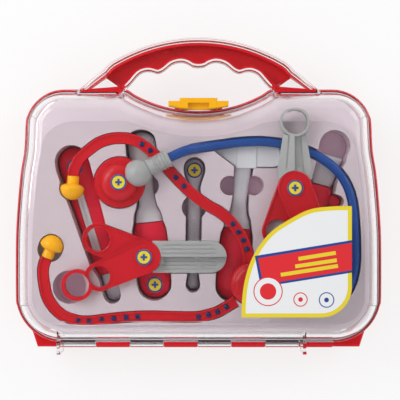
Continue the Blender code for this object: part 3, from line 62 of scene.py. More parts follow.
def lamp(name, place, aim, width, height, power):
    """Soft box that faces a point."""
    light = bpy.data.lights.new(name, "AREA")
    light.shape = "RECTANGLE"
    light.size, light.size_y = width, height
    light.energy = power
    holder = bpy.data.objects.new(name, light)
    holder.location = place
    holder.rotation_euler = (Vector(aim) - Vector(place)).to_track_quat("-Z", "Y").to_euler()
    bpy.context.scene.collection.objects.link(holder)


lamp("left_box", (-0.72, 0.42, 0.78), (0, 0, 0.05), 0.80, 0.50, 4.4)
lamp("right_box", (0.80, 0.42, 0.55), (0, 0, 0.05), 0.50, 0.35, 1.5)
lamp("front_box", (0.0, -0.95, 1.25), (0, 0, 0.05), 1.1, 0.5, 1.6)


def node(tree, kind, inputs, **settings):
    """Shader node, each of its inputs set to a value or linked to another node's output."""
    made = tree.nodes.new("ShaderNode" + kind)
    for setting, value in settings.items():
        setattr(made, setting, value)
    for socket, value in inputs.items():
        if isinstance(value, bpy.types.NodeSocket):
            tree.links.new(value, made.inputs[socket])
        else:
            made.inputs[socket].default_value = value
    return made


def seen_rays(tree):
    """1 for rays from the camera and from mirrors and glass, 0 for those that light a matt surface."""
    rays = node(tree, "LightPath", {}).outputs
    seen = node(tree, "Math", {0: rays["Is Camera Ray"], 1: rays["Is Glossy Ray"]}, operation="MAXIMUM")
    seen = node(tree, "Math", {0: seen.outputs[0], 1: rays["Is Transmission Ray"]}, operation="MAXIMUM")
    return seen.outputs[0]


def ranged(tree, value, low, high, low_value, high_value):
    """Value that goes from one number to another as its source goes from low to high."""
    return node(tree, "MapRange", {"Value": value, "From Min": low, "From Max": high, "To Min": low_value,
                                   "To Max": high_value}).outputs["Result"]


def chosen(tree, rays, other, value):
    """One brightness for a kind of ray and another for the rest."""
    return node(tree, "Mix", {"Factor": rays, "A": other, "B": value}).outputs["Result"]


def sky_brightness(tree):
    """White for the camera, bright overhead for matt surfaces, and for mirrors a room that is bright along its walls
    and dim overhead. Rays that pass the clear plastic see what the surface they came from would see."""
    rays = node(tree, "LightPath", {}).outputs
    way = node(tree, "TexCoord", {}).outputs["Generated"]
    height = node(tree, "SeparateXYZ", {"Vector": way}).outputs["Z"]
    matt = ranged(tree, height, 0.0, 1.0, 0.35, 0.85)
    mirror = ranged(tree, height, 0.35, 0.85, 1.0, 0.10)
    level = chosen(tree, rays["Is Glossy Ray"], matt, mirror)
    through = ranged(tree, rays["Diffuse Depth"], 0.0, 1.0, 1.0, 0.70)
    through = chosen(tree, ranged(tree, rays["Glossy Depth"], 0.0, 1.0, 0.0, 1.0), through, mirror)
    level = chosen(tree, rays["Is Transmission Ray"], level, through)
    return chosen(tree, rays["Is Camera Ray"], level, 1.0)


world = bpy.data.worlds.new("studio")
world.use_nodes = True
bpy.context.scene.world = world
sky = world.node_tree.nodes["Background"]
sky.inputs["Color"].default_value = (1, 1, 1, 1)
world.node_tree.links.new(sky_brightness(world.node_tree), sky.inputs["Strength"])

floor_shape = bmesh.new()
bmesh.ops.create_grid(floor_shape, x_segments=1, y_segments=1, size=3)
floor_mesh = bpy.data.meshes.new("floor")
floor_shape.to_mesh(floor_mesh)
floor_shape.free()
floor = bpy.data.objects.new("floor", floor_mesh)
bpy.context.scene.collection.objects.link(floor)
paint = bpy.data.materials.new("floor_white")
paint.use_nodes = True
tree = paint.node_tree
tree.nodes.remove(tree.nodes["Principled BSDF"])
matt = node(tree, "BsdfDiffuse", {"Color": (0.9, 0.9, 0.9, 1)})
share = node(tree, "Math", {0: seen_rays(tree), 1: 0.75}, operation="MULTIPLY")
glow = node(tree, "Emission", {})
blend = node(tree, "MixShader", {"Fac": share.outputs[0], 1: matt.outputs[0], 2: glow.outputs[0]})
tree.links.new(blend.outputs[0], tree.nodes["Material Output"].inputs["Surface"])
floor_mesh.materials.append(paint)


# Base: the lower half of the case, one glossy red moulding with its half of the handle, the slanted feet, hinge
# knuckles, latch lugs and the posts that carry the tray.

CASE_WIDTH = 260.4
CASE_HEIGHT = 221.5
HALF_WIDTH = CASE_WIDTH / 2
PARTING = 44.0
RIM_BOTTOM = -106.0
FOOT_FLAT = -110.75
SHOULDER_TOP = 73.85
DIP_MIDDLE = 153.78
DIP_RADIUS = 95.3
HANDLE_MIDDLE = -8.55
HANDLE_RADIUS = 119.3
GRIP = ((51.9, 74.0), (47.1, 79.3), (42.2, 84.8), (37.4, 86.8), (33.3, 86.6), (28.9, 85.5), (24.5, 87.3),
        (19.0, 91.7), (13.0, 93.4), (8.1, 92.4), (4.2, 90.2), (0.0, 89.6))


def vectors(rows):
    """Vectors from rows of numbers."""
    return [Vector(row) for row in rows]


def on_arc(middle_x, middle_y, radius, start, end, steps):
    """Points on a circle, in millimetres and degrees."""
    angles = [math.radians(start + (end - start) * step / steps) for step in range(steps + 1)]
    return [Vector((middle_x + radius * math.cos(angle), middle_y + radius * math.sin(angle))) for angle in angles]


def other_side(points):
    """The same points mirrored across the case, last one first."""
    return [Vector((-point.x, point.y)) for point in reversed(points)]


def placed(middle, points):
    """Points given from a middle, at their own places."""
    return [Vector((middle[0] + x, middle[1] + y)) for x, y in points]


def moved_in(loop, amount):
    """A counterclockwise loop moved inwards, with sharp corners kept."""
    moved = []
    for index, point in enumerate(loop):
        before = (point - loop[index - 1]).normalized()
        after = (loop[(index + 1) % len(loop)] - point).normalized()
        across = (before + after).normalized().orthogonal()
        moved.append(point + across * amount / max(across.dot(before.orthogonal()), 0.5))
    return moved


def curved(loop, steps, closed=True):
    """A smooth line through a row of points."""
    count = len(loop)
    line = []
    for index in range(count if closed else count - 1):
        near = [loop[(index + shift) % count] if closed else loop[min(max(index + shift, 0), count - 1)]
                for shift in (-1, 0, 1, 2)]
        for step in range(steps):
            t = step / steps
            line.append(0.5 * (2 * near[1] + (near[2] - near[0]) * t
                               + (2 * near[0] - 5 * near[1] + 4 * near[2] - near[3]) * t ** 2
                               + (3 * near[1] - near[0] - 3 * near[2] + near[3]) * t ** 3))
    return line if closed else line + [loop[-1].copy()]


def rim_corners():
    """Coarse rim of the case, counterclockwise from the hinge side."""
    corner = on_arc(96.2, RIM_BOTTOM + 34, 34, -90, -4, 9)
    side = [Vector((HALF_WIDTH * across, CASE_HEIGHT * up)) for across, up in
            ((1.0, -0.190), (0.997, -0.110), (0.987, -0.020), (0.972, 0.070), (0.953, 0.140))]
    shoulder = on_arc(95.98, SHOULDER_TOP - 27.5, 27.5, 10, 90, 8)
    top = [Vector((x, SHOULDER_TOP)) for x in (84, 72, 61)]
    dip = on_arc(0, DIP_MIDDLE, DIP_RADIUS, -57.0, -90, 8)
    right = corner + side + shoulder + top + dip[:-1]
    bottom = [Vector((x, RIM_BOTTOM)) for x in (-75, -50, -25, 0, 25, 50, 75)]
    return right + [dip[-1]] + other_side(right) + bottom


def case_ring(amount):
    """Fine outline of the case, moved in from the rim."""
    return curved(moved_in(rim_corners(), amount), 4)


def closed_loop(shape, places):
    """Closed row of edges through places in millimetres."""
    verts = [shape.verts.new((x * MM, y * MM, z * MM)) for x, y, z in places]
    return [shape.edges.new((verts[index - 1], vert)) for index, vert in enumerate(verts)]


def bridged(shape, loops):
    """Wall from loop to loop, with the first and the last filled."""
    for near, far in zip(loops, loops[1:]):
        bmesh.ops.bridge_loops(shape, edges=near + far)
    for end in (loops[0], loops[-1]):
        bmesh.ops.edgeloop_fill(shape, edges=end)


def walled(rings):
    """Closed shape from ring to ring, each an outline and a height."""
    shape = bmesh.new()
    bridged(shape, [closed_loop(shape, [(point.x, point.y, height) for point in outline])
                    for outline, height in rings])
    return shape


SAME_PLACE = 0.002 * MM
SOFT_ANGLE = 35


def piece(name, shape, material, soft_angle=SOFT_ANGLE):
    """Object from a bmesh, its faces outwards and its soft edges shaded smooth."""
    bmesh.ops.remove_doubles(shape, verts=shape.verts, dist=SAME_PLACE)
    bmesh.ops.recalc_face_normals(shape, faces=shape.faces)
    mesh = bpy.data.meshes.new(name)
    shape.to_mesh(mesh)
    shape.free()
    mesh.materials.append(material)
    mesh.shade_smooth()
    mesh.set_sharp_from_angle(angle=math.radians(soft_angle))
    made = bpy.data.objects.new(name, mesh)
    bpy.context.scene.collection.objects.link(made)
    return made


def combined(target, operation, *others):
    """Adds or takes away other shapes, which then go, leaving one clean mesh."""
    for other in others:
        step = target.modifiers.new(operation.lower(), "BOOLEAN")
        step.operation = operation
        step.solver = "EXACT"
        step.object = other
    view = bpy.context.evaluated_depsgraph_get()
    mesh = bpy.data.meshes.new_from_object(target.evaluated_get(view))
    target.modifiers.clear()
    mesh.set_sharp_from_angle(angle=math.radians(SOFT_ANGLE))
    target.data = mesh
    for other in others:
        bpy.data.objects.remove(other)
    return target


def rounded_prism(name, outline, low, high, material, edge=0.0, segments=3, bottom=True):
    """Outline raised between two heights, with its edges rounded if asked."""
    shape = walled(((outline, low), (outline, high)))
    bmesh.ops.recalc_face_normals(shape, faces=shape.faces)
    if edge:
        rims = [line for line in shape.edges if abs(line.verts[0].co.z - line.verts[1].co.z) < 1e-7
                and (bottom or line.verts[0].co.z > (low + high) / 2 * MM)]
        bmesh.ops.bevel(shape, geom=rims, offset=edge * MM, segments=segments, profile=0.5, affect="EDGES",
                        material=-1, clamp_overlap=True)
    return piece(name, shape, material)


def moulding_group():
    """Shader group of a moulded plastic's uneven surface: a broad mottle and a fine grain."""
    group = bpy.data.node_groups.new("moulding", "ShaderNodeTree")
    for name, scale in (("Mottle", 18.0), ("Grain", 900.0)):
        socket = group.interface.new_socket(name + " Scale", in_out="INPUT", socket_type="NodeSocketFloat")
        socket.default_value = scale
        group.interface.new_socket(name, in_out="OUTPUT", socket_type="NodeSocketFloat")
    inside, outside = group.nodes.new("NodeGroupInput"), group.nodes.new("NodeGroupOutput")
    place = node(group, "TexCoord", {}).outputs["Object"]
    for name, detail in (("Mottle", 2.0), ("Grain", 1.0)):
        noise = node(group, "TexNoise", {"Vector": place, "Scale": inside.outputs[name + " Scale"], "Detail": detail})
        group.links.new(noise.outputs["Fac"], outside.inputs[name])
    return group


moulding = moulding_group()


def uneven_material(name, shine, relief, constants, scales):
    """Material with the lowest and highest roughness that its mottle gives, and a relief if asked: the group's
    output, a strength and a depth in millimetres."""
    material = bpy.data.materials.new(name)
    material.use_nodes = True
    tree = material.node_tree
    shader = tree.nodes["Principled BSDF"]
    for socket, value in constants.items():
        shader.inputs[socket].default_value = value
    uneven = node(tree, "Group", scales, node_tree=moulding, name="uneven")
    tree.links.new(ranged(tree, uneven.outputs["Mottle"], 0.0, 1.0, *shine), shader.inputs["Roughness"])
    if relief:
        output, strength, depth = relief
        bump = node(tree, "Bump", {"Strength": strength, "Distance": depth * MM, "Height": uneven.outputs[output]})
        tree.links.new(bump.outputs["Normal"], shader.inputs["Normal"])
    return material


def plastic(name, colour, shade, roughness, gleam=0.5):
    """Moulded plastic whose colour and shine vary slightly over the surface."""
    material = uneven_material(name, (roughness * 0.8, roughness * 1.25), ("Grain", 0.02, 0.1),
                               {"Specular IOR Level": gleam}, {})
    tree = material.node_tree
    tint = node(tree, "Mix", {"Factor": tree.nodes["uneven"].outputs["Mottle"], "A": (*colour, 1), "B": (*shade, 1)},
                data_type="RGBA")
    tree.links.new(tint.outputs["Result"], tree.nodes["Principled BSDF"].inputs["Base Color"])
    return material


def handle_band(root):
    """Handle seen from the front: outer arc and finger grip, down to a straight root."""
    outer = on_arc(0, HANDLE_MIDDLE, HANDLE_RADIUS, 61.2, 118.8, 40)
    grip = curved(vectors(GRIP), 3, closed=False)
    left = [Vector((-point.x, point.y)) for point in grip]
    foot = 84.7 + 1.224 * (SHOULDER_TOP - root)
    side = vectors(((foot, root), (67.4, 88.0), (65.0, 91.0), (61.5, 93.8)))
    inner = vectors(((57.9, root),))
    return side + outer + other_side(side) + other_side(inner) + left[:-1] + grip[::-1] + inner


def case_shell(name, profile, material):
    """Solid of the case's outline through a profile of inset and height."""
    return piece(name, walled([(case_ring(amount), height) for amount, height in profile]), material)


def strip(points, half_width):
    """Outline of a strip of even width along a row of points."""
    left, right = [], []
    for index, point in enumerate(points):
        before, after = points[max(index - 1, 0)], points[min(index + 1, len(points) - 1)]
        across = (after - before).normalized().orthogonal() * half_width
        left.append(point + across)
        right.append(point - across)
    return right + left[::-1]


def turned(name, profile, place, direction, material, steps=64):
    """Profile of radius and distance in millimetres, turned round a direction through a place."""
    shape = bmesh.new()
    points = [shape.verts.new((radius * MM, 0, distance * MM)) for radius, distance in profile]
    lines = [shape.edges.new(pair) for pair in zip(points, points[1:])]
    bmesh.ops.spin(shape, geom=points + lines, cent=(0, 0, 0), axis=(0, 0, 1), angle=math.tau, steps=steps,
                   use_merge=True)
    bmesh.ops.remove_doubles(shape, verts=shape.verts, dist=SAME_PLACE)
    aim = Vector((0, 0, 1)).rotation_difference(Vector(direction).normalized()).to_matrix()
    bmesh.ops.rotate(shape, cent=(0, 0, 0), matrix=aim, verts=shape.verts)
    bmesh.ops.translate(shape, vec=Vector(place) * MM, verts=shape.verts)
    return piece(name, shape, material)


def box_shape(name, low, high, material):
    """Block between two corners in millimetres."""
    (left, near, bottom), (right, far, top) = low, high
    return rounded_prism(name, vectors(((left, near), (right, near), (right, far), (left, far))), bottom, top, material)


case_red = plastic("case_red", (0.72, 0.003, 0.012), (0.64, 0.003, 0.010), roughness=0.25, gleam=0.3)

BASE_PROFILE = ((-0.7, PARTING), (-0.7, 30.0), (-0.5, 14.0), (0.1, 6.6), (1.2, 3.4), (2.8, 1.3), (4.6, 0.3), (6.0, 0.0))
BASE_ROOM = ((1.3, PARTING + 1), (1.3, 14.0), (2.0, 6.6), (3.2, 4.0), (5.5, 2.5), (8.0, 2.0))
FOOT = vectors(((-116.5, FOOT_FLAT), (116.5, FOOT_FLAT), (130.9, -66.75), (-130.9, -66.75)))
WINDOW = vectors(((54.2, 74.85), (80.4, 74.85), (67.3, 83.96)))
HINGE = (0, -107.4, 44.15)
HINGE_LEFT = -97.4
KNUCKLES = 8
KNUCKLE_PITCH = 24.175
KNUCKLE_GAP = 0.15
KNUCKLE_BORE = 1.3
KNUCKLE_RADIUS = 2.6
KNUCKLE_EDGE = 0.4
GROOVE_RADIUS = 2.9
LATCH_AXIS = (63.78, 33.5)
LUG_RADIUS = 3.2
POST_SHARES = ((-0.277, 0.238), (0.277, 0.238), (-0.235, -0.442), (0.235, -0.442))
POST_ARM = 5.5
POST_HALF = 0.8
POST_TOP = 42.0
NEST = 2.4


def hinge_knuckles(owner, first, web_low, web_high, web_reach, material):
    """Every second knuckle with its web, for one half of the case."""
    made = []
    for index in range(first, KNUCKLES, 2):
        left = HINGE_LEFT + KNUCKLE_PITCH * index + KNUCKLE_GAP
        right = left + KNUCKLE_PITCH - 2 * KNUCKLE_GAP
        face = KNUCKLE_RADIUS - KNUCKLE_EDGE
        wall = ((KNUCKLE_BORE, left), (face, left), (KNUCKLE_RADIUS, left + KNUCKLE_EDGE),
                (KNUCKLE_RADIUS, right - KNUCKLE_EDGE), (face, right), (KNUCKLE_BORE, right), (KNUCKLE_BORE, left))
        made.append(turned(f"{owner}_knuckle_{index}", wall, HINGE, (1, 0, 0), material, steps=32))
        made.append(box_shape(f"{owner}_web_{index}", (left + 0.3, -105.8, web_low), (right - 0.3, web_reach, web_high),
                              material))
    return made


def hinge_groove(name, material):
    """Round groove along the rim for the knuckles."""
    start, end = HINGE_LEFT - 0.3, 96.3
    return turned(name, ((0, start), (GROOVE_RADIUS, start), (GROOVE_RADIUS, end), (0, end)), HINGE, (1, 0, 0),
                  material, steps=40)


def latch_lugs(material):
    """Two lugs that hold the latch's pin."""
    lugs = []
    for side in (-1, 1):
        profile = on_arc(*LATCH_AXIS, LUG_RADIUS, -90, 90, 12) + vectors(((58.0, 36.7), (58.0, 30.3)))
        shape = bmesh.new()
        near, far = sorted((side * 13.6, side * 17.1))
        verts = [shape.verts.new((near * MM, point.x * MM, point.y * MM)) for point in profile]
        face = shape.faces.new(verts)
        raised = bmesh.ops.extrude_face_region(shape, geom=[face])
        moved = [item for item in raised["geom"] if isinstance(item, bmesh.types.BMVert)]
        bmesh.ops.translate(shape, verts=moved, vec=((far - near) * MM, 0, 0))
        lugs.append(piece(f"latch_lug_{side}", shape, material))
    return lugs


def tray_posts(material):
    """Crossed ribs that the tray stands on."""
    posts = []
    for index, (across, up) in enumerate(POST_SHARES):
        x, y = CASE_WIDTH * across, CASE_HEIGHT * up
        corners = ((POST_HALF, -POST_ARM), (POST_HALF, -POST_HALF), (POST_ARM, -POST_HALF), (POST_ARM, POST_HALF),
                   (POST_HALF, POST_HALF), (POST_HALF, POST_ARM))
        cross = placed((x, y), [(side * dx, side * dy) for side in (1, -1) for dx, dy in corners])
        posts.append(rounded_prism(f"post_{index}", cross, 1.0, POST_TOP, material))
    return posts


base = case_shell("base_red", BASE_PROFILE, case_red)
combined(base, "UNION", rounded_prism("feet", FOOT, 3.0, 37.0, case_red, edge=2.0),
         rounded_prism("base_grip", moved_in(handle_band(65.45), NEST), 33.0, PARTING, case_red, edge=1.6))
grip_room = moved_in(handle_band(71.95), 2.2 + NEST)
combined(base, "DIFFERENCE", case_shell("base_room", BASE_ROOM, case_red),
         rounded_prism("base_grip_room", grip_room, 35.2, PARTING + 1, case_red))
combined(base, "DIFFERENCE", *[rounded_prism(f"base_window_{index}", window, 32.0, 36.2, case_red)
                               for index, window in enumerate((WINDOW, other_side(WINDOW)))],
         hinge_groove("base_groove", case_red))
combined(base, "UNION", *hinge_knuckles("base", 1, PARTING - 5.0, PARTING - 0.3, -104.85, case_red),
         *latch_lugs(case_red), *tray_posts(case_red))
combined(base, "DIFFERENCE", turned("latch_bore", ((0, -21), (1.5, -21), (1.5, 21), (0, 21)), (0, *LATCH_AXIS),
                                    (1, 0, 0), case_red, steps=24))
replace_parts(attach(base, "case"), "base_shell")


# Pins: four plain steel pins that the lid, the latch, the scissors and the forceps turn on. They are CAD nodes
# with a drawn steel finish.

steel = uneven_material("drawn_steel", (0.2, 0.4), ("Grain", 0.1, 0.05),
                        {"Base Color": (0.55, 0.55, 0.56, 1), "Metallic": 1.0},
                        {"Mottle Scale": 400, "Grain Scale": 2500})
for pin in ("hinge_pin", "latch_pin", "scissors_rivet", "forceps_rivet"):
    for place in nodes[pin].material_slots:
        place.material = steel


# Lower instruments: hollow mouldings in two colours, each lying on the floor of its own well. Bodies are round
# in section and slightly flattened, with rounded ends and a soft shine. Their red and grey are painted light:
# brighter copies of the toy red and grey, lifted to offset the shade down in the wells.

toy_red = plastic("toy_red", (0.64, 0.010, 0.020), (0.55, 0.007, 0.015), roughness=0.22, gleam=0.3)
toy_grey = plastic("toy_grey", (0.41, 0.42, 0.41), (0.36, 0.37, 0.365), roughness=0.30)
# Painted light: these brighter copies of toy red and grey offset the shade in the deep wells.
low_red_painted_light = plastic("low_red_painted_light", (0.90, 0.020, 0.055), (0.78, 0.014, 0.045), roughness=0.25, gleam=0.3)
low_grey_painted_light = plastic("low_grey_painted_light", (0.72, 0.73, 0.75), (0.66, 0.67, 0.69), roughness=0.30)
NO_AREA = 1e-11
SQUARENESS = 0.75


def eased(made, edge, least=40):
    """Rounds every sharp edge of a piece."""
    shape = bmesh.new()
    shape.from_mesh(made.data)
    bmesh.ops.remove_doubles(shape, verts=shape.verts, dist=0.005 * MM)
    bmesh.ops.dissolve_limit(shape, angle_limit=math.radians(1), verts=shape.verts, edges=shape.edges,
                             use_dissolve_boundaries=False)
    sharp = [line for line in shape.edges if len(line.link_faces) == 2
             and line.calc_face_angle(0) > math.radians(least)]
    bmesh.ops.bevel(shape, geom=sharp, offset=edge * MM, segments=3, profile=0.5, affect="EDGES", material=-1,
                    clamp_overlap=True)
    bmesh.ops.triangulate(shape, faces=[face for face in shape.faces if len(face.verts) > 4])
    bmesh.ops.dissolve_degenerate(shape, dist=SAME_PLACE, edges=shape.edges)
    bmesh.ops.delete(shape, geom=[face for face in shape.faces if face.calc_area() < NO_AREA], context="FACES")
    bmesh.ops.delete(shape, geom=[vert for vert in shape.verts if not vert.link_faces], context="VERTS")
    shape.to_mesh(made.data)
    shape.free()
    made.data.shade_smooth()
    made.data.set_sharp_from_angle(angle=math.radians(SOFT_ANGLE))
    return made


def taken_from(node_name, name, material):
    """Merged copy of a CAD node's mesh, as a new piece."""
    shape = bmesh.new()
    shape.from_mesh(nodes[node_name].data)
    bmesh.ops.remove_doubles(shape, verts=shape.verts, dist=SAME_PLACE)
    mesh = bpy.data.meshes.new(name)
    shape.to_mesh(mesh)
    shape.free()
    mesh.materials.append(material)
    made = bpy.data.objects.new(name, mesh)
    bpy.context.scene.collection.objects.link(made)
    return made


def fine_stations(stations, steps):
    """Smooth run of stations through the given ones, with even steps along the body between each two."""
    line = curved(vectors(stations), steps, closed=False)
    for index, station in enumerate(line[:-1]):
        near, far = stations[index // steps][0], stations[index // steps + 1][0]
        station.x = near + (far - near) * (index % steps) / steps
    return line


def rounded_body(name, ends, stations, middle, material, sides=48, steps=3):
    """Body through stations along a middle line: share along, half width share, half thickness share."""
    start, end = Vector(ends[0]), Vector(ends[1])
    length = (end - start).length
    along = (end - start).normalized()
    across = along.orthogonal()
    shape = bmesh.new()
    loops = []
    for share, half_width, half_thickness in fine_stations(stations, steps):
        centre = start + along * share * length
        places = []
        for side in range(sides):
            angle = math.tau * side / sides
            over = math.copysign(abs(math.cos(angle)) ** SQUARENESS, math.cos(angle)) * half_width * length
            rise = math.copysign(abs(math.sin(angle)) ** SQUARENESS, math.sin(angle)) * half_thickness * length
            places.append((*(centre + across * over), middle + rise))
        loops.append(closed_loop(shape, places))
    bridged(shape, loops)
    return piece(name, shape, material, soft_angle=45)


def stands_for(made, body, slot, *replaced):
    """Puts a piece on its body in place of its CAD nodes, with its large flat faces shaded flat."""
    for face in made.data.polygons:
        if len(face.vertices) > 8 or abs(face.normal.z) > 0.9999:
            face.use_smooth = False
    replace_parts(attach(made, body), *replaced)
    return made


WELL = 22.3
THERMOMETER = ((-90.5, 23.1), (-61.1, -72.9))
OTOSCOPE = ((-41.1, 34.7), (-30.2, -76.5))
PROBE = ((-2.9, 17.0), (-4.0, -65.6))
HAMMER = ((33.2, 27.0), (22.2, -77.3))
SYRINGE = ((94.8, 27.0), (73.8, -46.7))


def round_end(share, half_width, half_thickness, reach):
    """Stations that round a body off beyond a share of its length, or before it where the reach is negative."""
    turns = [math.radians(turn) for turn in (0, 25, 45, 62, 76, 86)]
    stations = [(share + reach * math.sin(turn), half_width * math.cos(turn), half_thickness * math.cos(turn))
                for turn in turns]
    return tuple(stations if reach > 0 else stations[::-1])


THERMOMETER_FORM = round_end(0.01, 0.112, 0.070, -0.115) + ((0.10, 0.112, 0.070), (0.45, 0.096, 0.066),
                                                           (0.75, 0.082, 0.062), (0.84, 0.066, 0.052))
THERMOMETER_TIP = ((0.845, 0.052, 0.048), (0.92, 0.053, 0.049)) + round_end(0.99, 0.053, 0.050, 0.055)
GRIP_FORM = ((0.50, 0.090, 0.076), (0.54, 0.103, 0.082), (0.62, 0.106, 0.084),
             (0.75, 0.106, 0.084)) + round_end(0.885, 0.103, 0.082, 0.104)
NECK_FORM = ((0.14, 0.064, 0.064), (0.22, 0.050, 0.050), (0.34, 0.052, 0.052), (0.40, 0.062, 0.058),
             (0.44, 0.080, 0.070), (0.495, 0.090, 0.076))
OTOSCOPE_FORM = round_end(-0.02, 0.090, 0.082, -0.07) + ((0.06, 0.090, 0.082), (0.12, 0.074, 0.070),
                                                         (0.137, 0.060, 0.060)) + NECK_FORM
PROBE_RIBS = tuple((0.435 + 0.0065 * step, (0.058, 0.0545)[step % 2], (0.066, 0.061)[step % 2]) for step in range(26))
PROBE_FORM = round_end(-0.015, 0.083, 0.072, -0.085) + (
    (0.03, 0.080, 0.072), (0.10, 0.056, 0.066), (0.16, 0.044, 0.062), (0.24, 0.054, 0.065), (0.30, 0.058, 0.066),
    (0.42, 0.058, 0.066)) + PROBE_RIBS + (
    (0.62, 0.058, 0.066), (0.64, 0.042, 0.052), (0.90, 0.040, 0.050)) + round_end(0.99, 0.052, 0.054, 0.058)
HAMMER_NECK = ((0.0, 0.064, 0.064),) + NECK_FORM[1:]
HAMMER_HEAD = ((-0.205, 0.040), (-0.190, 0.024), (-0.052, -0.078), (0.078, -0.078), (0.200, -0.076), (0.226, -0.068),
               (0.241, -0.050), (0.245, -0.025), (0.245, 0.030), (0.238, 0.056), (0.222, 0.071), (0.200, 0.078),
               (-0.052, 0.080), (-0.180, 0.074), (-0.200, 0.062))


def length_of(ends):
    """Length of a body between its ends."""
    return (Vector(ends[1]) - Vector(ends[0])).length


def grip_height(ends):
    """Height of the middle line of a tool whose grip lies on its well's floor."""
    return WELL + 0.084 * length_of(ends)


thermometer_half = 0.070 * length_of(THERMOMETER)
thermometer_height = WELL + thermometer_half
thermometer_top = thermometer_height + thermometer_half
thermometer_way = (Vector(THERMOMETER[1]) - Vector(THERMOMETER[0])).normalized()
window_ends = [Vector(THERMOMETER[0]) + thermometer_way * share * length_of(THERMOMETER)
               - thermometer_way.orthogonal() * 0.025 * length_of(THERMOMETER) for share in (0.20, 0.68)]
thermometer = rounded_body("thermometer_red", THERMOMETER, THERMOMETER_FORM, thermometer_height, low_red_painted_light)
combined(thermometer, "DIFFERENCE", rounded_prism("thermometer_room", strip(window_ends, 3.1), thermometer_top - 2.9,
                                                  thermometer_top + 1, low_red_painted_light))
stands_for(thermometer, "case", "toy_red", "thermometer_body")
stands_for(rounded_body("thermometer_probe", THERMOMETER, THERMOMETER_TIP, thermometer_height, low_grey_painted_light), "case",
           "toy_grey", "thermometer_tip")
scale = rounded_prism("thermometer_window", strip(window_ends, 2.7), thermometer_top - 2.6, thermometer_top - 0.6,
                      low_grey_painted_light, edge=0.3)
combined(scale, "DIFFERENCE", rounded_prism("scale_groove", strip(window_ends, 0.45), thermometer_top - 1.6,
                                            thermometer_top, low_grey_painted_light))
stands_for(scale, "case", "toy_grey", "thermometer_scale")
stands_for(rounded_body("otoscope_grip", OTOSCOPE, GRIP_FORM, grip_height(OTOSCOPE), low_red_painted_light), "case", "toy_red",
           "otoscope_handle")
stands_for(rounded_body("otoscope_funnel", OTOSCOPE, OTOSCOPE_FORM, grip_height(OTOSCOPE), low_grey_painted_light), "case",
           "toy_grey", "otoscope_head")
stands_for(rounded_body("ear_probe_body", PROBE, PROBE_FORM, WELL + 0.072 * length_of(PROBE), low_grey_painted_light, steps=2),
           "case", "toy_grey", "ear_probe")
stands_for(rounded_body("hammer_grip", HAMMER, GRIP_FORM, grip_height(HAMMER), low_red_painted_light), "case", "toy_red",
           "hammer_handle")
head_plan = placed(HAMMER[0], [(across * length_of(HAMMER), up * length_of(HAMMER)) for across, up in HAMMER_HEAD])
head_half = 0.082 * length_of(HAMMER)
hammer_head = rounded_prism("hammer_block", head_plan, grip_height(HAMMER) - head_half, grip_height(HAMMER) + head_half,
                            low_grey_painted_light, edge=1.2, segments=4)
saddle = vectors(((27.2, 18.2), (41.6, 18.2), (42.4, 35.8), (28.0, 35.8)))
combined(hammer_head, "UNION", rounded_body("hammer_neck", HAMMER, HAMMER_NECK, grip_height(HAMMER), low_grey_painted_light),
         rounded_prism("hammer_saddle", saddle, grip_height(HAMMER), grip_height(HAMMER) + head_half + 0.7, low_grey_painted_light,
                       edge=0.5))
stands_for(hammer_head, "case", "toy_grey", "hammer_head")
stands_for(eased(taken_from("syringe_barrel", "syringe_body", low_red_painted_light), 0.4, least=50), "case", "toy_red",
           "syringe_barrel")
stands_for(rounded_body("syringe_tip", SYRINGE, ((0.905, 0.034, 0.034), (1.06, 0.026, 0.026)),
                        WELL + 0.115 * length_of(SYRINGE), low_grey_painted_light), "case", "toy_grey", "syringe_nozzle")
stands_for(eased(taken_from("syringe_plunger", "syringe_push", low_grey_painted_light), 0.4, least=50), "plunger", "toy_grey",
           "syringe_plunger")


# Stethoscope: a flat red headset band with blue studs in a shallow channel, a domed junction, two yellow ear
# tips, a red chest piece on a grey neck, and a soft blue hose from its collar to the junction.

SEAT = 44.3
BAND_TOP = 49.7
BAND_HALF = 3.9
CHANNEL_HALF = 2.3
HOSE_RADIUS = 3.4
UPPER_BAND = ((-0.3425, 0.049), (-0.341, 0.065), (-0.3276, 0.092), (-0.3137, 0.107), (-0.297, 0.121), (-0.274, 0.1375),
              (-0.246, 0.148), (-0.215, 0.1517), (-0.183, 0.148), (-0.160, 0.1386), (-0.1356, 0.121),
              (-0.111, 0.0975), (-0.081, 0.065), (-0.062, 0.044), (-0.0396, 0.021), (-0.0096, -0.0065),
              (0.026, -0.0326), (0.0534, -0.0476), (0.0753, -0.064), (0.0945, -0.083), (0.1094, -0.1045),
              (0.123, -0.127), (0.1325, -0.152), (0.1383, -0.187))
LOWER_BAND = ((-0.4151, -0.1763), (-0.4215, -0.192), (-0.4245, -0.215), (-0.4205, -0.250), (-0.4124, -0.283),
              (-0.393, -0.313), (-0.366, -0.335), (-0.3287, -0.3475), (-0.299, -0.349), (-0.2646, -0.345),
              (-0.2316, -0.341), (-0.1985, -0.338), (-0.166, -0.336), (-0.133, -0.3353), (-0.092, -0.336),
              (-0.037, -0.3376), (-0.0015, -0.3368), (0.027, -0.331), (0.052, -0.323), (0.077, -0.309),
              (0.1025, -0.2935))
STUDS = ((-0.155, 0.135), (-0.132, 0.118), (-0.062, 0.044), (-0.0396, 0.021), (0.0945, -0.083), (0.1094, -0.1045),
         (0.1225, -0.127), (0.1318, -0.151), (0.076, -0.3095), (0.052, -0.323), (0.027, -0.331), (0.0, -0.337),
         (-0.166, -0.336), (-0.1985, -0.338), (-0.2316, -0.341), (-0.2646, -0.345), (-0.299, -0.349),
         (-0.3287, -0.3475))
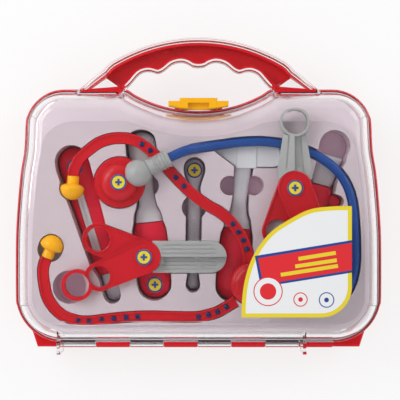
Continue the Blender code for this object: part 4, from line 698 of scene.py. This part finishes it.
HOSE_ROUTE = ((-0.0247, 0.0231, 0.0572), (-0.0195, 0.0257, 0.0572), (-0.0095, 0.0302, 0.0556),
              (-0.0015, 0.0322, 0.0520), (0.0082, 0.0337, 0.0484), (0.0189, 0.0352, 0.0466),
              (0.0297, 0.0366, 0.0463), (0.0439, 0.0372, 0.0463), (0.0582, 0.0358, 0.0463),
              (0.0689, 0.0333, 0.0463), (0.0790, 0.0297, 0.0463), (0.0868, 0.0258, 0.0463),
              (0.0961, 0.0190, 0.0463), (0.1032, 0.0109, 0.0463), (0.1079, 0.0012, 0.0463),
              (0.1104, -0.0100, 0.0463), (0.1115, -0.0240, 0.0463), (0.1120, -0.0400, 0.0463),
              (0.1112, -0.0546, 0.0463), (0.1072, -0.0674, 0.0463), (0.0990, -0.0755, 0.0463),
              (0.0868, -0.0780, 0.0463), (0.0740, -0.0765, 0.0463), (0.0640, -0.0722, 0.0463),
              (0.0533, -0.0686, 0.0463))


def on_case(shares):
    """Places given as shares of the case's width, in millimetres."""
    return [Vector((CASE_WIDTH * across, CASE_WIDTH * up)) for across, up in shares]


def band_path(shares, steps):
    """Middle line of an arm of the headset band."""
    return curved(on_case(shares), steps, closed=False)


def band_arm(name, shares):
    """One arm of the headset band, with its channel."""
    path = band_path(shares, 5)
    arm = rounded_prism(name, strip(path, BAND_HALF), SEAT, BAND_TOP, toy_red, edge=0.7)
    channel = rounded_prism(name + "_channel", strip(path, CHANNEL_HALF), BAND_TOP - 1.0, BAND_TOP + 1, toy_red)
    return combined(arm, "DIFFERENCE", channel)


stands_for(band_arm("band_upper", UPPER_BAND), "case", "toy_red", "headset_upper_arm")
stands_for(band_arm("band_lower", LOWER_BAND), "case", "toy_red", "headset_lower_arm")
stud_blue = plastic("stud_blue", (0.010, 0.016, 0.12), (0.006, 0.010, 0.08), roughness=0.3)
for number, place in enumerate(on_case(STUDS), 1):
    dome = turned(f"stud_{number:02d}", ((0, 0), (1.9, 0), (1.9, 0.5), (1.7, 0.8), (1.2, 1.0), (0, 1.0)),
                  (place.x, place.y, 49.0), (0, 0, 1), stud_blue, steps=24)
    stands_for(dome, "case", "stud_blue", f"headset_stud_{number:02d}")
JUNCTION = (38.0, -64.3)
JUNCTION_FORM = ((0, 0), (14.5, 0), (15.2, 0.4), (15.4, 1.0), (15.4, 5.0), (15.0, 6.2), (14.2, 7.1), (12.6, 7.9),
                 (11.8, 8.0), (11.4, 8.3), (9.0, 8.9), (6.2, 9.3), (3.0, 9.5), (0, 9.5))
junction = turned("junction_dome", JUNCTION_FORM, (*JUNCTION, SEAT), (0, 0, 1), toy_red, steps=96)
stands_for(junction, "case", "toy_red", "headset_junction")
tip_yellow = plastic("tip_yellow", (1.0, 0.49, 0.004), (0.95, 0.42, 0.003), roughness=0.2, gleam=0.35)
BULB = ((0, 0), (4.2, 0), (4.2, 5.4), (6.4, 6.2), (7.8, 7.1), (8.5, 8.2), (8.6, 9.2), (8.3, 10.8), (7.6, 12.4),
        (6.4, 14.2), (4.8, 15.7), (3.0, 16.6), (1.4, 16.9), (0, 17.0))
for name, shares, tip in (("tip_upper", UPPER_BAND, "ear_tip_left"), ("tip_lower", LOWER_BAND, "ear_tip_lower")):
    end, before = on_case(shares[:2])
    way = (end - before).normalized()
    start = end + way * 0.3
    stands_for(turned(name, BULB, (start.x, start.y, 47.0), (way.x, way.y, 0), tip_yellow), "case", "tip_yellow", tip)

CHEST = (-56.0, 7.9)
DISH = ((0, 0), (17.2, 0), (18.0, 0.5), (18.3, 1.2), (18.3, 5.0), (18.0, 6.2), (17.4, 7.0), (15.6, 7.2), (13.7, 7.3),
        (13.3, 7.8), (13.2, 8.6), (12.9, 11.6), (12.3, 13.4), (11.2, 14.7), (9.6, 15.6), (7.0, 16.2), (3.5, 16.5),
        (0, 16.5))
dish = turned("chest_dish_red", DISH, (*CHEST, SEAT), (0, 0, 1), toy_red, steps=96)
stands_for(dish, "case", "toy_red", "chest_dish")
NECK_TURN = math.radians(26)
BALL = 9.6
neck_ball = [(BALL * math.sin(math.radians(turn)), 15.0 - BALL * math.cos(math.radians(turn)))
             for turn in range(0, 148, 6)]
COLLAR = [(5.1, 23.0), (5.5, 23.4), (5.76, 23.6), (5.76, 26.9), (6.0, 26.9), (6.2, 27.2), (6.2, 28.0), (5.6, 28.2),
          (5.6, 28.7), (6.2, 28.9), (6.2, 29.7), (5.6, 29.9), (5.6, 30.4), (6.2, 30.6), (6.2, 31.8), (5.7, 31.9),
          (5.7, 32.6), (6.4, 32.7), (6.4, 34.2), (5.8, 34.4), (5.8, 34.9), (6.4, 35.1), (6.4, 36.3), (5.8, 36.5),
          (5.8, 37.0), (6.4, 37.2), (6.4, 39.0), (6.1, 39.5), (3.7, 39.5), (3.7, 34.5), (0, 34.5)]
neck = turned("chest_neck_grey", neck_ball + COLLAR, (*CHEST, 57.2), (math.cos(NECK_TURN), math.sin(NECK_TURN), 0),
              toy_grey)
dish_room = [(0, 0)] + [(reach + 0.3, height + 0.3) for reach, height in DISH[1:-1]] + [(0, 16.8)]
combined(neck, "DIFFERENCE", turned("dish_room", dish_room, (*CHEST, SEAT), (0, 0, 1), toy_grey, steps=96))
stands_for(neck, "case", "toy_grey", "chest_neck")

hose_blue = plastic("hose_blue", (0.010, 0.075, 0.33), (0.006, 0.055, 0.27), roughness=0.3)
route = curved(vectors(HOSE_ROUTE), 4, closed=False)
hose_line = bpy.data.curves.new("hose_line", "CURVE")
hose_line.dimensions = "3D"
hose_line.bevel_depth = HOSE_RADIUS * MM
hose_line.bevel_resolution = 10
hose_line.use_fill_caps = True
spline = hose_line.splines.new("POLY")
spline.points.add(len(route) - 1)
for knot, point in zip(spline.points, route):
    knot.co = (*point, 1)
hose_curve = bpy.data.objects.new("hose_curve", hose_line)
bpy.context.scene.collection.objects.link(hose_curve)
view = bpy.context.evaluated_depsgraph_get()
hose = bmesh.new()
hose.from_mesh(bpy.data.meshes.new_from_object(hose_curve.evaluated_get(view)))
bpy.data.objects.remove(hose_curve)
stands_for(piece("hose_soft", hose, hose_blue), "case", "hose_blue", "stethoscope_hose")


# Scissors and ring forceps: each half is a red grip with its finger rings, snapped round a grey blade or jaw, and
# the two halves turn on a rivet. The grips have a raised edge all round, the blades long grooves.

LIP = 1.2
RECESS = 0.9


def disc(place, radius):
    """Outline of a disc."""
    return on_arc(place[0], place[1], radius, 0, 360, 64)[:-1]


def pill(first, first_radius, second, second_radius, steps=24):
    """Outline of two discs and the band that spans them."""
    first, second = Vector(first), Vector(second)
    span = second - first
    lean = math.degrees(math.asin((first_radius - second_radius) / span.length))
    along = math.degrees(math.atan2(span.y, span.x))
    return (on_arc(first.x, first.y, first_radius, along + 90 - lean, along + 270 + lean, steps)
            + on_arc(second.x, second.y, second_radius, along - 90 + lean, along + 90 - lean, steps))


def edged_grip(name, place, low, high, head, rings, tongue):
    """Red grip: a head disc that runs into finger rings, sunk by a hair inside its raised edge."""
    rings = [((place[0] + x, place[1] + y), radius, wall) for x, y, radius, wall in rings]
    first, first_radius, first_wall = rings[0]
    grip = rounded_prism(name, pill(place, head, first, first_radius), low, high, toy_red)
    for index, (centre, radius, wall) in enumerate(rings[1:], 1):
        combined(grip, "UNION", rounded_prism(f"{name}_loop_{index}", disc(centre, radius), low, high, toy_red))
    combined(grip, "DIFFERENCE", *[rounded_prism(f"{name}_hole_{index}", disc(centre, radius - wall), low - 1, high + 1,
                                                 toy_red) for index, (centre, radius, wall) in enumerate(rings)])
    eased(grip, 0.55, least=60)
    recess = rounded_prism(name + "_recess", pill(place, head - LIP, first, first_radius - LIP), high - RECESS,
                           high + 1, toy_red)
    combined(recess, "DIFFERENCE", rounded_prism(name + "_lip", disc(first, first_radius - first_wall + LIP), high - 1,
                                                 high + 2, toy_red))
    return combined(grip, "DIFFERENCE", recess,
                    rounded_prism(name + "_room", moved_in(tongue, -0.3), low - 1, low + 2.5, toy_red),
                    turned(name + "_bore", ((0, low - 1), (2.5, low - 1), (2.5, high + 1), (0, high + 1)),
                           (*place, 0), (0, 0, 1), toy_red, steps=32))


for node_name, body in (("scissors_rear_blade", "case"), ("scissors_front_blade", "scissors_front"),
                        ("forceps_rear_jaw", "case"), ("forceps_front_jaw", "forceps_front")):
    blade_name = node_name.replace("_rear", "_back").replace("_front", "_top")
    stands_for(eased(taken_from(node_name, blade_name, toy_grey), 0.3, least=50), body, "toy_grey", node_name)

SCISSORS = (-38.5, -44.9)
SCISSORS_REACH = 58.5
SCISSORS_HEAD = 11.8
scissors_tongue = placed(SCISSORS, ((-4.4, -5), (14.0, -5), (14.0, 5), (-4.4, 5)))
REAR_RING = (-0.563 * SCISSORS_REACH, 0.215 * SCISSORS_REACH, 0.195 * SCISSORS_REACH, 2.9)
FRONT_RING = (-0.538 * SCISSORS_REACH, -0.234 * SCISSORS_REACH, 0.178 * SCISSORS_REACH, 2.9)
FRONT_LOOP = (-0.807 * SCISSORS_REACH, -0.337 * SCISSORS_REACH, 0.190 * SCISSORS_REACH, 2.6)
for name, low, high, rings, body, node_name in (
        ("scissors_back_grip", 44.3, 50.0, (REAR_RING,), "case", "scissors_rear_handle"),
        ("scissors_top_grip", 50.3, 56.0, (FRONT_RING, FRONT_LOOP), "scissors_front", "scissors_front_handle")):
    stands_for(edged_grip(name, SCISSORS, low, high, SCISSORS_HEAD, rings, scissors_tongue), body, "toy_red", node_name)
FORCEPS = (67.8, 3.9)
FORCEPS_REACH = 46.6
FORCEPS_HEAD = 12.0
forceps_tongue = placed(FORCEPS, ((5, -4.4), (5, 14.2), (-5, 14.2), (-5, -4.4)))
for name, low, high, side, body, node_name in (
        ("forceps_back_grip", 50.3, 55.3, -1, "case", "forceps_rear_handle"),
        ("forceps_top_grip", 55.6, 60.6, 1, "forceps_front", "forceps_front_handle")):
    ring = (side * 0.258 * FORCEPS_REACH, -0.650 * FORCEPS_REACH, 0.235 * FORCEPS_REACH, 3.0)
    stands_for(edged_grip(name, FORCEPS, low, high, FORCEPS_HEAD, (ring,), forceps_tongue), body, "toy_red", node_name)


# Stickers: discs of printed vinyl on most instruments, yellow with a blue ring and a plain blue plus. Each lies
# flat on its instrument, and the print stands a few hundredths of a millimetre above the vinyl.

print_yellow = plastic("print_yellow", (0.85, 0.68, 0.02), (0.80, 0.62, 0.02), roughness=0.35)
print_blue = plastic("print_blue", (0.008, 0.065, 0.33), (0.008, 0.055, 0.28), roughness=0.35)
PLUS_HALF = ((0.8, 2.4), (0.8, 0.8), (2.4, 0.8), (2.4, -0.8), (0.8, -0.8), (0.8, -2.4))


def printed_disc(name, place, low, body, node_name):
    """Yellow disc with a blue ring along its edge and a blue plus."""
    stands_for(rounded_prism(name, disc(place, 5.7), low, low + 0.22, print_yellow, edge=0.08, bottom=False), body,
               "print_yellow", node_name)
    ring = rounded_prism(name + "_ring", disc(place, 5.66), low + 0.1, low + 0.26, print_blue)
    combined(ring, "DIFFERENCE", rounded_prism(name + "_inside", disc(place, 4.5), low, low + 1, print_blue))
    corners = placed(place, [(side * x, side * y) for side in (1, -1) for x, y in PLUS_HALF])
    plus = rounded_prism(name + "_plus", corners, low + 0.1, low + 0.26, print_blue)
    for part in (ring, plus):
        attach(part, body)


for name, node_name, body in (("chest_disc", "chest_sticker", "case"),
                              ("thermometer_disc", "thermometer_sticker", "case"),
                              ("probe_disc", "probe_sticker", "case"), ("otoscope_disc", "otoscope_sticker", "case"),
                              ("scissors_disc", "scissors_sticker", "scissors_front"),
                              ("forceps_disc", "forceps_sticker", "forceps_front")):
    low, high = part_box(node_name)
    printed_disc(name, ((low[0] + high[0]) / 2 / MM, (low[1] + high[1]) / 2 / MM), low[2] / MM, body, node_name)


# Tray: one thin vacuum-formed sheet with deep wells for the lower instruments and shallow seats for the upper
# ones. Its edges are drawn round. Its colour is set by height: mauve in the wells for the red of the base seen
# through the sheet, painted lighter there as painted light against the wells' shade, and a paler band along the
# rim that is a painted highlight.

def formed_sheet():
    """Thin glossy sheet: pale lilac grey on the table, a paler rim that is a painted highlight, and a light mauve
    in the wells, partly the red of the base seen through the sheet and partly painted light against their shade.
    """
    material = uneven_material("formed_sheet", (0.16, 0.30), ("Mottle", 0.25, 0.4),
                               {"Coat Weight": 0.3, "Coat Roughness": 0.1}, {"Mottle Scale": 30})
    tree = material.node_tree
    place = node(tree, "TexCoord", {}).outputs["Object"]
    height = node(tree, "SeparateXYZ", {"Vector": place}).outputs["Z"]
    depth = node(tree, "ValToRGB", {"Fac": ranged(tree, height, 20 * MM, 50 * MM, 0.0, 1.0)})
    stops = depth.color_ramp.elements
    # Painted light by height: the deep stops are lightened to offset the shade in the wells, and the pale stop at 0.985
    # is a painted highlight along the rim.
    stops[0].position, stops[0].color = 0.05, (0.96, 0.70, 0.82, 1)
    stops[1].position, stops[1].color = 1.0, (0.60, 0.51, 0.55, 1)
    for position, colour in ((0.45, (0.96, 0.76, 0.85, 1)), (0.72, (0.88, 0.76, 0.82, 1)),
                             (0.80, (0.68, 0.58, 0.63, 1)), (0.955, (0.66, 0.58, 0.62, 1)),
                             (0.985, (0.86, 0.82, 0.84, 1))):
        stops.new(position).color = colour
    tree.links.new(depth.outputs["Color"], tree.nodes["Principled BSDF"].inputs["Base Color"])
    return material


SYRINGE_WELL = ((-0.083, 0.112, 0), (-0.06, 0.126, 0), (0.03, 0.130, 0), (0.07, 0.116, 0), (0.24, 0.108, 0),
                (0.33, 0.115, 0), (0.84, 0.110, 0), (0.90, 0.084, 0))
SYRINGE_TIP_WELL = ((0.89, 0.040, 0), (0.98, 0.036, 0), (1.07, 0.032, 0))
PROBE_PLAN = PROBE_FORM[:12] + PROBE_FORM[-9:]
FINGERS = ((-0.139, 0.021, 0.031), (-0.012, -0.038, 0.034), (0.085, 0.022, 0.027), (0.152, 0.022, 0.027),
           (0.372, 0.131, 0.043), (-0.352, -0.255, 0.046))


def clear_of(moved, outline, reach):
    """The moved points that keep their distance from the outline, which leaves out the folds in its inner corners."""
    kept = []
    for point in moved:
        gaps = []
        for index, end in enumerate(outline):
            start = outline[index - 1]
            share = (point - start).dot(end - start) / (end - start).length_squared
            gaps.append((point - start.lerp(end, min(max(share, 0), 1))).length)
        if min(gaps) > 0.97 * reach:
            kept.append(point)
    return kept


def plan_of(ends, stations, margin):
    """Outline round a body given by stations along its middle line, as it is seen from the front."""
    start, along = Vector(ends[0]), (Vector(ends[1]) - Vector(ends[0])).normalized()
    across, length = along.orthogonal(), length_of(ends)
    fine = fine_stations(stations, 2)
    left = [start + along * share * length + across * half * length for share, half, thickness in fine]
    right = [start + along * share * length - across * half * length for share, half, thickness in fine]
    outline = right + left[::-1]
    return clear_of(moved_in(outline, -margin), outline, margin)


def table_edge(margin):
    """Outline of the tray's raised table."""
    corner = on_arc(96.2, -72.0, 23.0 - margin, -90, -4, 8)
    side = [Vector((HALF_WIDTH * across - 11.0 - margin, CASE_HEIGHT * up)) for across, up in
            ((1.0, -0.190), (0.997, -0.110), (0.987, -0.020), (0.975, 0.060))]
    head = on_arc(88.8, 26.35, 25.0 - margin, 5, 90, 8) + [Vector((x, 51.35 - margin)) for x in (78.0, 66.0, 54.0)]
    dip = on_arc(0, DIP_MIDDLE, 113.3 + margin, -66.5, -90, 8)
    right = corner + side + head + dip[:-1]
    foot = [Vector((x, -95.0 + margin)) for x in (-75, -50, -25, 0, 25, 50, 75)]
    return curved(right + [dip[-1]] + other_side(right) + foot, 3)


def well_plans(margin):
    """Outlines of the wells, in two groups within which none touch."""
    along = (Vector(SYRINGE[1]) - Vector(SYRINGE[0])).normalized()
    flange = Vector(SYRINGE[0]) + along * 0.395 * length_of(SYRINGE)
    reach = along.orthogonal() * 0.165 * length_of(SYRINGE)
    half = 0.050 * length_of(SYRINGE) + margin
    tools = [plan_of(THERMOMETER, THERMOMETER_FORM[:-1] + THERMOMETER_TIP, margin),
             plan_of(OTOSCOPE, OTOSCOPE_FORM[:-1] + GRIP_FORM, margin), plan_of(PROBE, PROBE_PLAN, margin),
             plan_of(HAMMER, HAMMER_NECK[:-1] + GRIP_FORM, margin), plan_of(SYRINGE, SYRINGE_WELL, margin)]
    others = [moved_in(head_plan, -margin), plan_of(SYRINGE, SYRINGE_TIP_WELL, margin),
              pill(flange - reach, half, flange + reach, half, 12)]
    others += [disc((CASE_WIDTH * across, CASE_WIDTH * up), CASE_WIDTH * radius + margin - 0.96)
               for across, up, radius in FINGERS]
    return tools, others


def seat_plans(margin):
    """Outlines of the seats of the upper instruments, in two groups within which none touch."""
    blade = [Vector((5.9, -11.55))] + on_arc(47.1, -0.15, 11.4, -90, 0, 16) + [Vector((5.9, -0.15))]
    ring = (SCISSORS[0] + REAR_RING[0], SCISSORS[1] + REAR_RING[1])
    bands = [strip(band_path(shares, 3), BAND_HALF + margin) for shares in (UPPER_BAND, LOWER_BAND)]
    return (bands + [disc(CHEST, 18.3 + margin), pill(SCISSORS, SCISSORS_HEAD + margin, ring, REAR_RING[2] + margin)],
            [disc(JUNCTION, 15.4 + margin), moved_in(placed(SCISSORS, blade), -margin)])


def ear_tip_plans(margin):
    """Outlines of the hollows under the ear tips."""
    plans = []
    for shares in (UPPER_BAND, LOWER_BAND):
        end, before = on_case(shares[:2])
        way = (end - before).normalized()
        plans.append(pill(end + way * 6.9, 8.6 + margin, end + way * 8.9, 8.6 + margin, 12))
    return plans


def hose_plan(margin):
    """Outline of the channel of the hose."""
    line = curved([Vector(point) * 1000 for point in HOSE_ROUTE], 2, closed=False)
    path = [point.xy for point in line if point.z < 54.6]
    path[0] += (path[0] - path[1]).normalized() * margin
    path[-1] += (path[-1] - path[-2]).normalized() * margin
    return strip(path, HOSE_RADIUS + margin)


WELL_MARGIN = 0.9
SEAT_MARGIN = 0.5
WELL_FLOOR = 22.0
TIP_FLOOR = 38.0
HOSE_FLOOR = 42.6
SEAT_FLOOR = 44.0


def hollows(name, wall, top, material):
    """All hollows of the tray with a wall round and under them, up to a height, in five meshes."""
    tools, wells = well_plans(WELL_MARGIN + wall)
    bands, seats = seat_plans(SEAT_MARGIN + wall)
    groups = ([(plan, WELL_FLOOR) for plan in tools], [(plan, WELL_FLOOR) for plan in wells],
              [(plan, SEAT_FLOOR) for plan in bands], [(hose_plan(SEAT_MARGIN + wall), HOSE_FLOOR)],
              [(plan, SEAT_FLOOR) for plan in seats]
              + [(plan, TIP_FLOOR) for plan in ear_tip_plans(SEAT_MARGIN + wall)])
    made = []
    for index, group in enumerate(groups):
        shape = bmesh.new()
        for plan, floor in group:
            foot = [shape.verts.new((point.x * MM, point.y * MM, (floor - wall) * MM)) for point in plan]
            risen = bmesh.ops.extrude_face_region(shape, geom=[shape.faces.new(foot)], use_keep_orig=True)["geom"]
            bmesh.ops.translate(shape, verts=[part for part in risen if isinstance(part, bmesh.types.BMVert)],
                                vec=(0, 0, (top - floor + wall) * MM))
        made.append(piece(f"{name}_{index}", shape, material))
    return made


sheet = formed_sheet()
SHEET = 0.9
UNDER = 41.0
FLANGE = 42.3
TABLE = 50.0
tray = rounded_prism("formed_tray", case_ring(2.0), FLANGE, FLANGE + SHEET, sheet)
under = rounded_prism("tray_under", table_edge(SHEET), UNDER, TABLE - SHEET, sheet)
combined(under, "DIFFERENCE", *hollows("kept", SHEET, 50.5, sheet))
combined(tray, "UNION", rounded_prism("tray_table", table_edge(0), FLANGE, TABLE, sheet),
         *hollows("wall", SHEET, 49.6, sheet))
combined(tray, "DIFFERENCE", under, *hollows("room", 0, 51.0, sheet))
eased(tray, 0.45)
stands_for(tray, "case", "tray_plastic", "tray")


# Latch: one glossy yellow moulding that swings on a steel pin between the two lugs of the base, and keeps the
# lid's rim down when the case is shut. Its edges are eased.

latch_yellow = plastic("latch_yellow", (1.0, 0.50, 0.003), (0.95, 0.44, 0.002), roughness=0.3, gleam=0.3)
stands_for(eased(taken_from("latch", "latch_hook", latch_yellow), 0.5), "latch", "latch_yellow", "latch")


# Lid: the clear upper half of the case, one polished moulding with a stepped rim, rounded walls, its half of the
# handle, two fins that stop it when it is open, and its half of the hinge.

def clear_plastic():
    """Polished clear plastic that lets the lamps through to what lies under it."""
    material = uneven_material("clear_plastic", (0.015, 0.05), None,
                               {"Base Color": (0.985, 0.985, 0.99, 1), "Transmission Weight": 1.0, "IOR": 1.46},
                               {"Mottle Scale": 25})
    tree = material.node_tree
    shadow = node(tree, "LightPath", {}).outputs["Is Shadow Ray"]
    through = node(tree, "BsdfTransparent", {})
    blend = node(tree, "MixShader", {"Fac": shadow, 1: tree.nodes["Principled BSDF"].outputs["BSDF"],
                                     2: through.outputs["BSDF"]})
    tree.links.new(blend.outputs["Shader"], tree.nodes["Material Output"].inputs["Surface"])
    return material


clear = clear_plastic()
lid_grip_room = moved_in(handle_band(71.95), 2.2)
LID_FOOT = PARTING + 0.3
LID_PROFILE = ((0, 0), (0, 2.6), (0.25, 3.0), (0.9, 3.3), (1.9, 3.5), (2.3, 3.9), (2.7, 6), (3.6, 11), (4.6, 16),
               (5.6, 20.5), (6.6, 24.5), (7.9, 28), (9.6, 31), (11.6, 33.4), (13.8, 35), (16, 35.85), (18, 36))
LID_ROOM = ((3.4, -1), (3.5, 2.4), (4.2, 4.2), (4.65, 6.4), (5.6, 11.4), (6.6, 16.4), (7.55, 20.6), (8.5, 23.9),
            (9.7, 26.9), (11.2, 29.5), (13.0, 31.7), (14.9, 33.2), (16.6, 33.9), (18.5, 34))
GATE_MARK = ((0, -0.4), (4.7, -0.4), (4.7, 0.03), (4.3, 0.2), (4.0, 0.2), (3.5, 0.03), (1.7, 0.03), (1.1, 0.2),
             (0, 0.2))
LID_TOP = 80.3
STOP = vectors(((51.7, 74.65), (65.1, 85.06)))
stop_walls = [strip(STOP, 1.1), other_side(strip(STOP, 1.1))]
lid = case_shell("lid_clear", [(amount, LID_FOOT + up) for amount, up in LID_PROFILE], clear)
combined(lid, "UNION", rounded_prism("lid_grip", handle_band(67.85), LID_FOOT, PARTING + 11, clear, edge=2.4,
                                     segments=5, bottom=False),
         box_shape("fin_left", (-97.4, -110.75, 55.0), (-95.0, -94.75, 77.0), clear),
         box_shape("fin_right", (71.825, -110.75, 55.0), (74.225, -94.75, 77.0), clear))
combined(lid, "DIFFERENCE", case_shell("lid_room", [(amount, LID_FOOT + up) for amount, up in LID_ROOM], clear),
         rounded_prism("lid_grip_room", lid_grip_room, LID_FOOT - 1, 52.8, clear))
combined(lid, "UNION", *[rounded_prism(f"lid_stop_{index}", wall, LID_FOOT, 53.1, clear)
                         for index, wall in enumerate(stop_walls)])
combined(lid, "UNION", turned("lid_gate", GATE_MARK, (2.4, -46.3, LID_TOP), (0, 0, 1), clear, steps=48))
combined(lid, "DIFFERENCE", hinge_groove("lid_groove", clear))
combined(lid, "UNION", *hinge_knuckles("lid", 0, LID_FOOT, LID_FOOT + 2.4, -103.7, clear))
stands_for(lid, "lid", "clear_plastic", "lid_shell")


# Label: a printed vinyl sheet stuck on the lid's front, white with a yellow border. It carries a banner, plain
# yellow stripes and plain round badges.

print_white = plastic("print_white", (0.86, 0.87, 0.88), (0.83, 0.84, 0.86), roughness=0.3)
print_red = plastic("print_red", (0.80, 0.02, 0.03), (0.75, 0.02, 0.03), roughness=0.3)
PAPER = 0.1
PRINT = 0.027
BOW = ((0.403, -0.0334), (0.347, -0.0345), (0.293, -0.0422), (0.245, -0.065), (0.193, -0.099), (0.158, -0.140),
       (0.1355, -0.183), (0.121, -0.232), (0.1145, -0.280), (0.1133, -0.326))
label_edge = on_arc(83.94, -63.89, 21.0, -90, 0, 16) + curved(on_case(BOW), 4, closed=False)
stands_for(rounded_prism("label_sheet", label_edge, LID_TOP, LID_TOP + PAPER, print_white), "lid", "print_white",
           "front_label")


def print_on_label(name, outline, material, level):
    """Flat print a hair above the sheet."""
    made = rounded_prism(name, outline, LID_TOP + PAPER / 2, LID_TOP + PAPER + PRINT * level, material)
    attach(made, "lid")


BANNER = vectors(((42.6, -64.2), (104.94, -54.2), (104.94, -32.0), (38.6, -42.8)))
BANNER_RED = vectors(((44.4, -62.3), (104.94, -52.5), (104.94, -33.8), (40.7, -44.4)))
STRIPES = (((68.4, -44.8), (93.9, -40.7)), ((66.2, -50.0), (94.6, -45.7)), ((56.3, -55.7), (95.4, -49.6)))
print_on_label("border_yellow", label_edge, print_yellow, 1)
print_on_label("label_white", moved_in(label_edge, 2.8), print_white, 2)
print_on_label("banner_blue", BANNER, print_blue, 3)
print_on_label("banner_red", BANNER_RED, print_red, 4)
for index, ends in enumerate(STRIPES):
    print_on_label(f"banner_stripe_{index}", strip(vectors(ends), 1.3), print_yellow, 5)
for name, place, radius, dot, ink, level in (("badge_{}", (47.6, -67.1), 10.0, 5.6, print_red, 5),
                                             ("seal_{}_0", (69.8, -72.6), 4.9, 1.6, print_red, 3),
                                             ("seal_{}_1", (87.6, -72.9), 5.3, 1.6, print_blue, 3)):
    print_on_label(name.format("ring"), disc(place, radius), ink, level)
    print_on_label(name.format("white"), disc(place, radius - 0.7), print_white, level + 1)
    print_on_label(name.format("dot"), disc(place, dot), ink, level + 2)
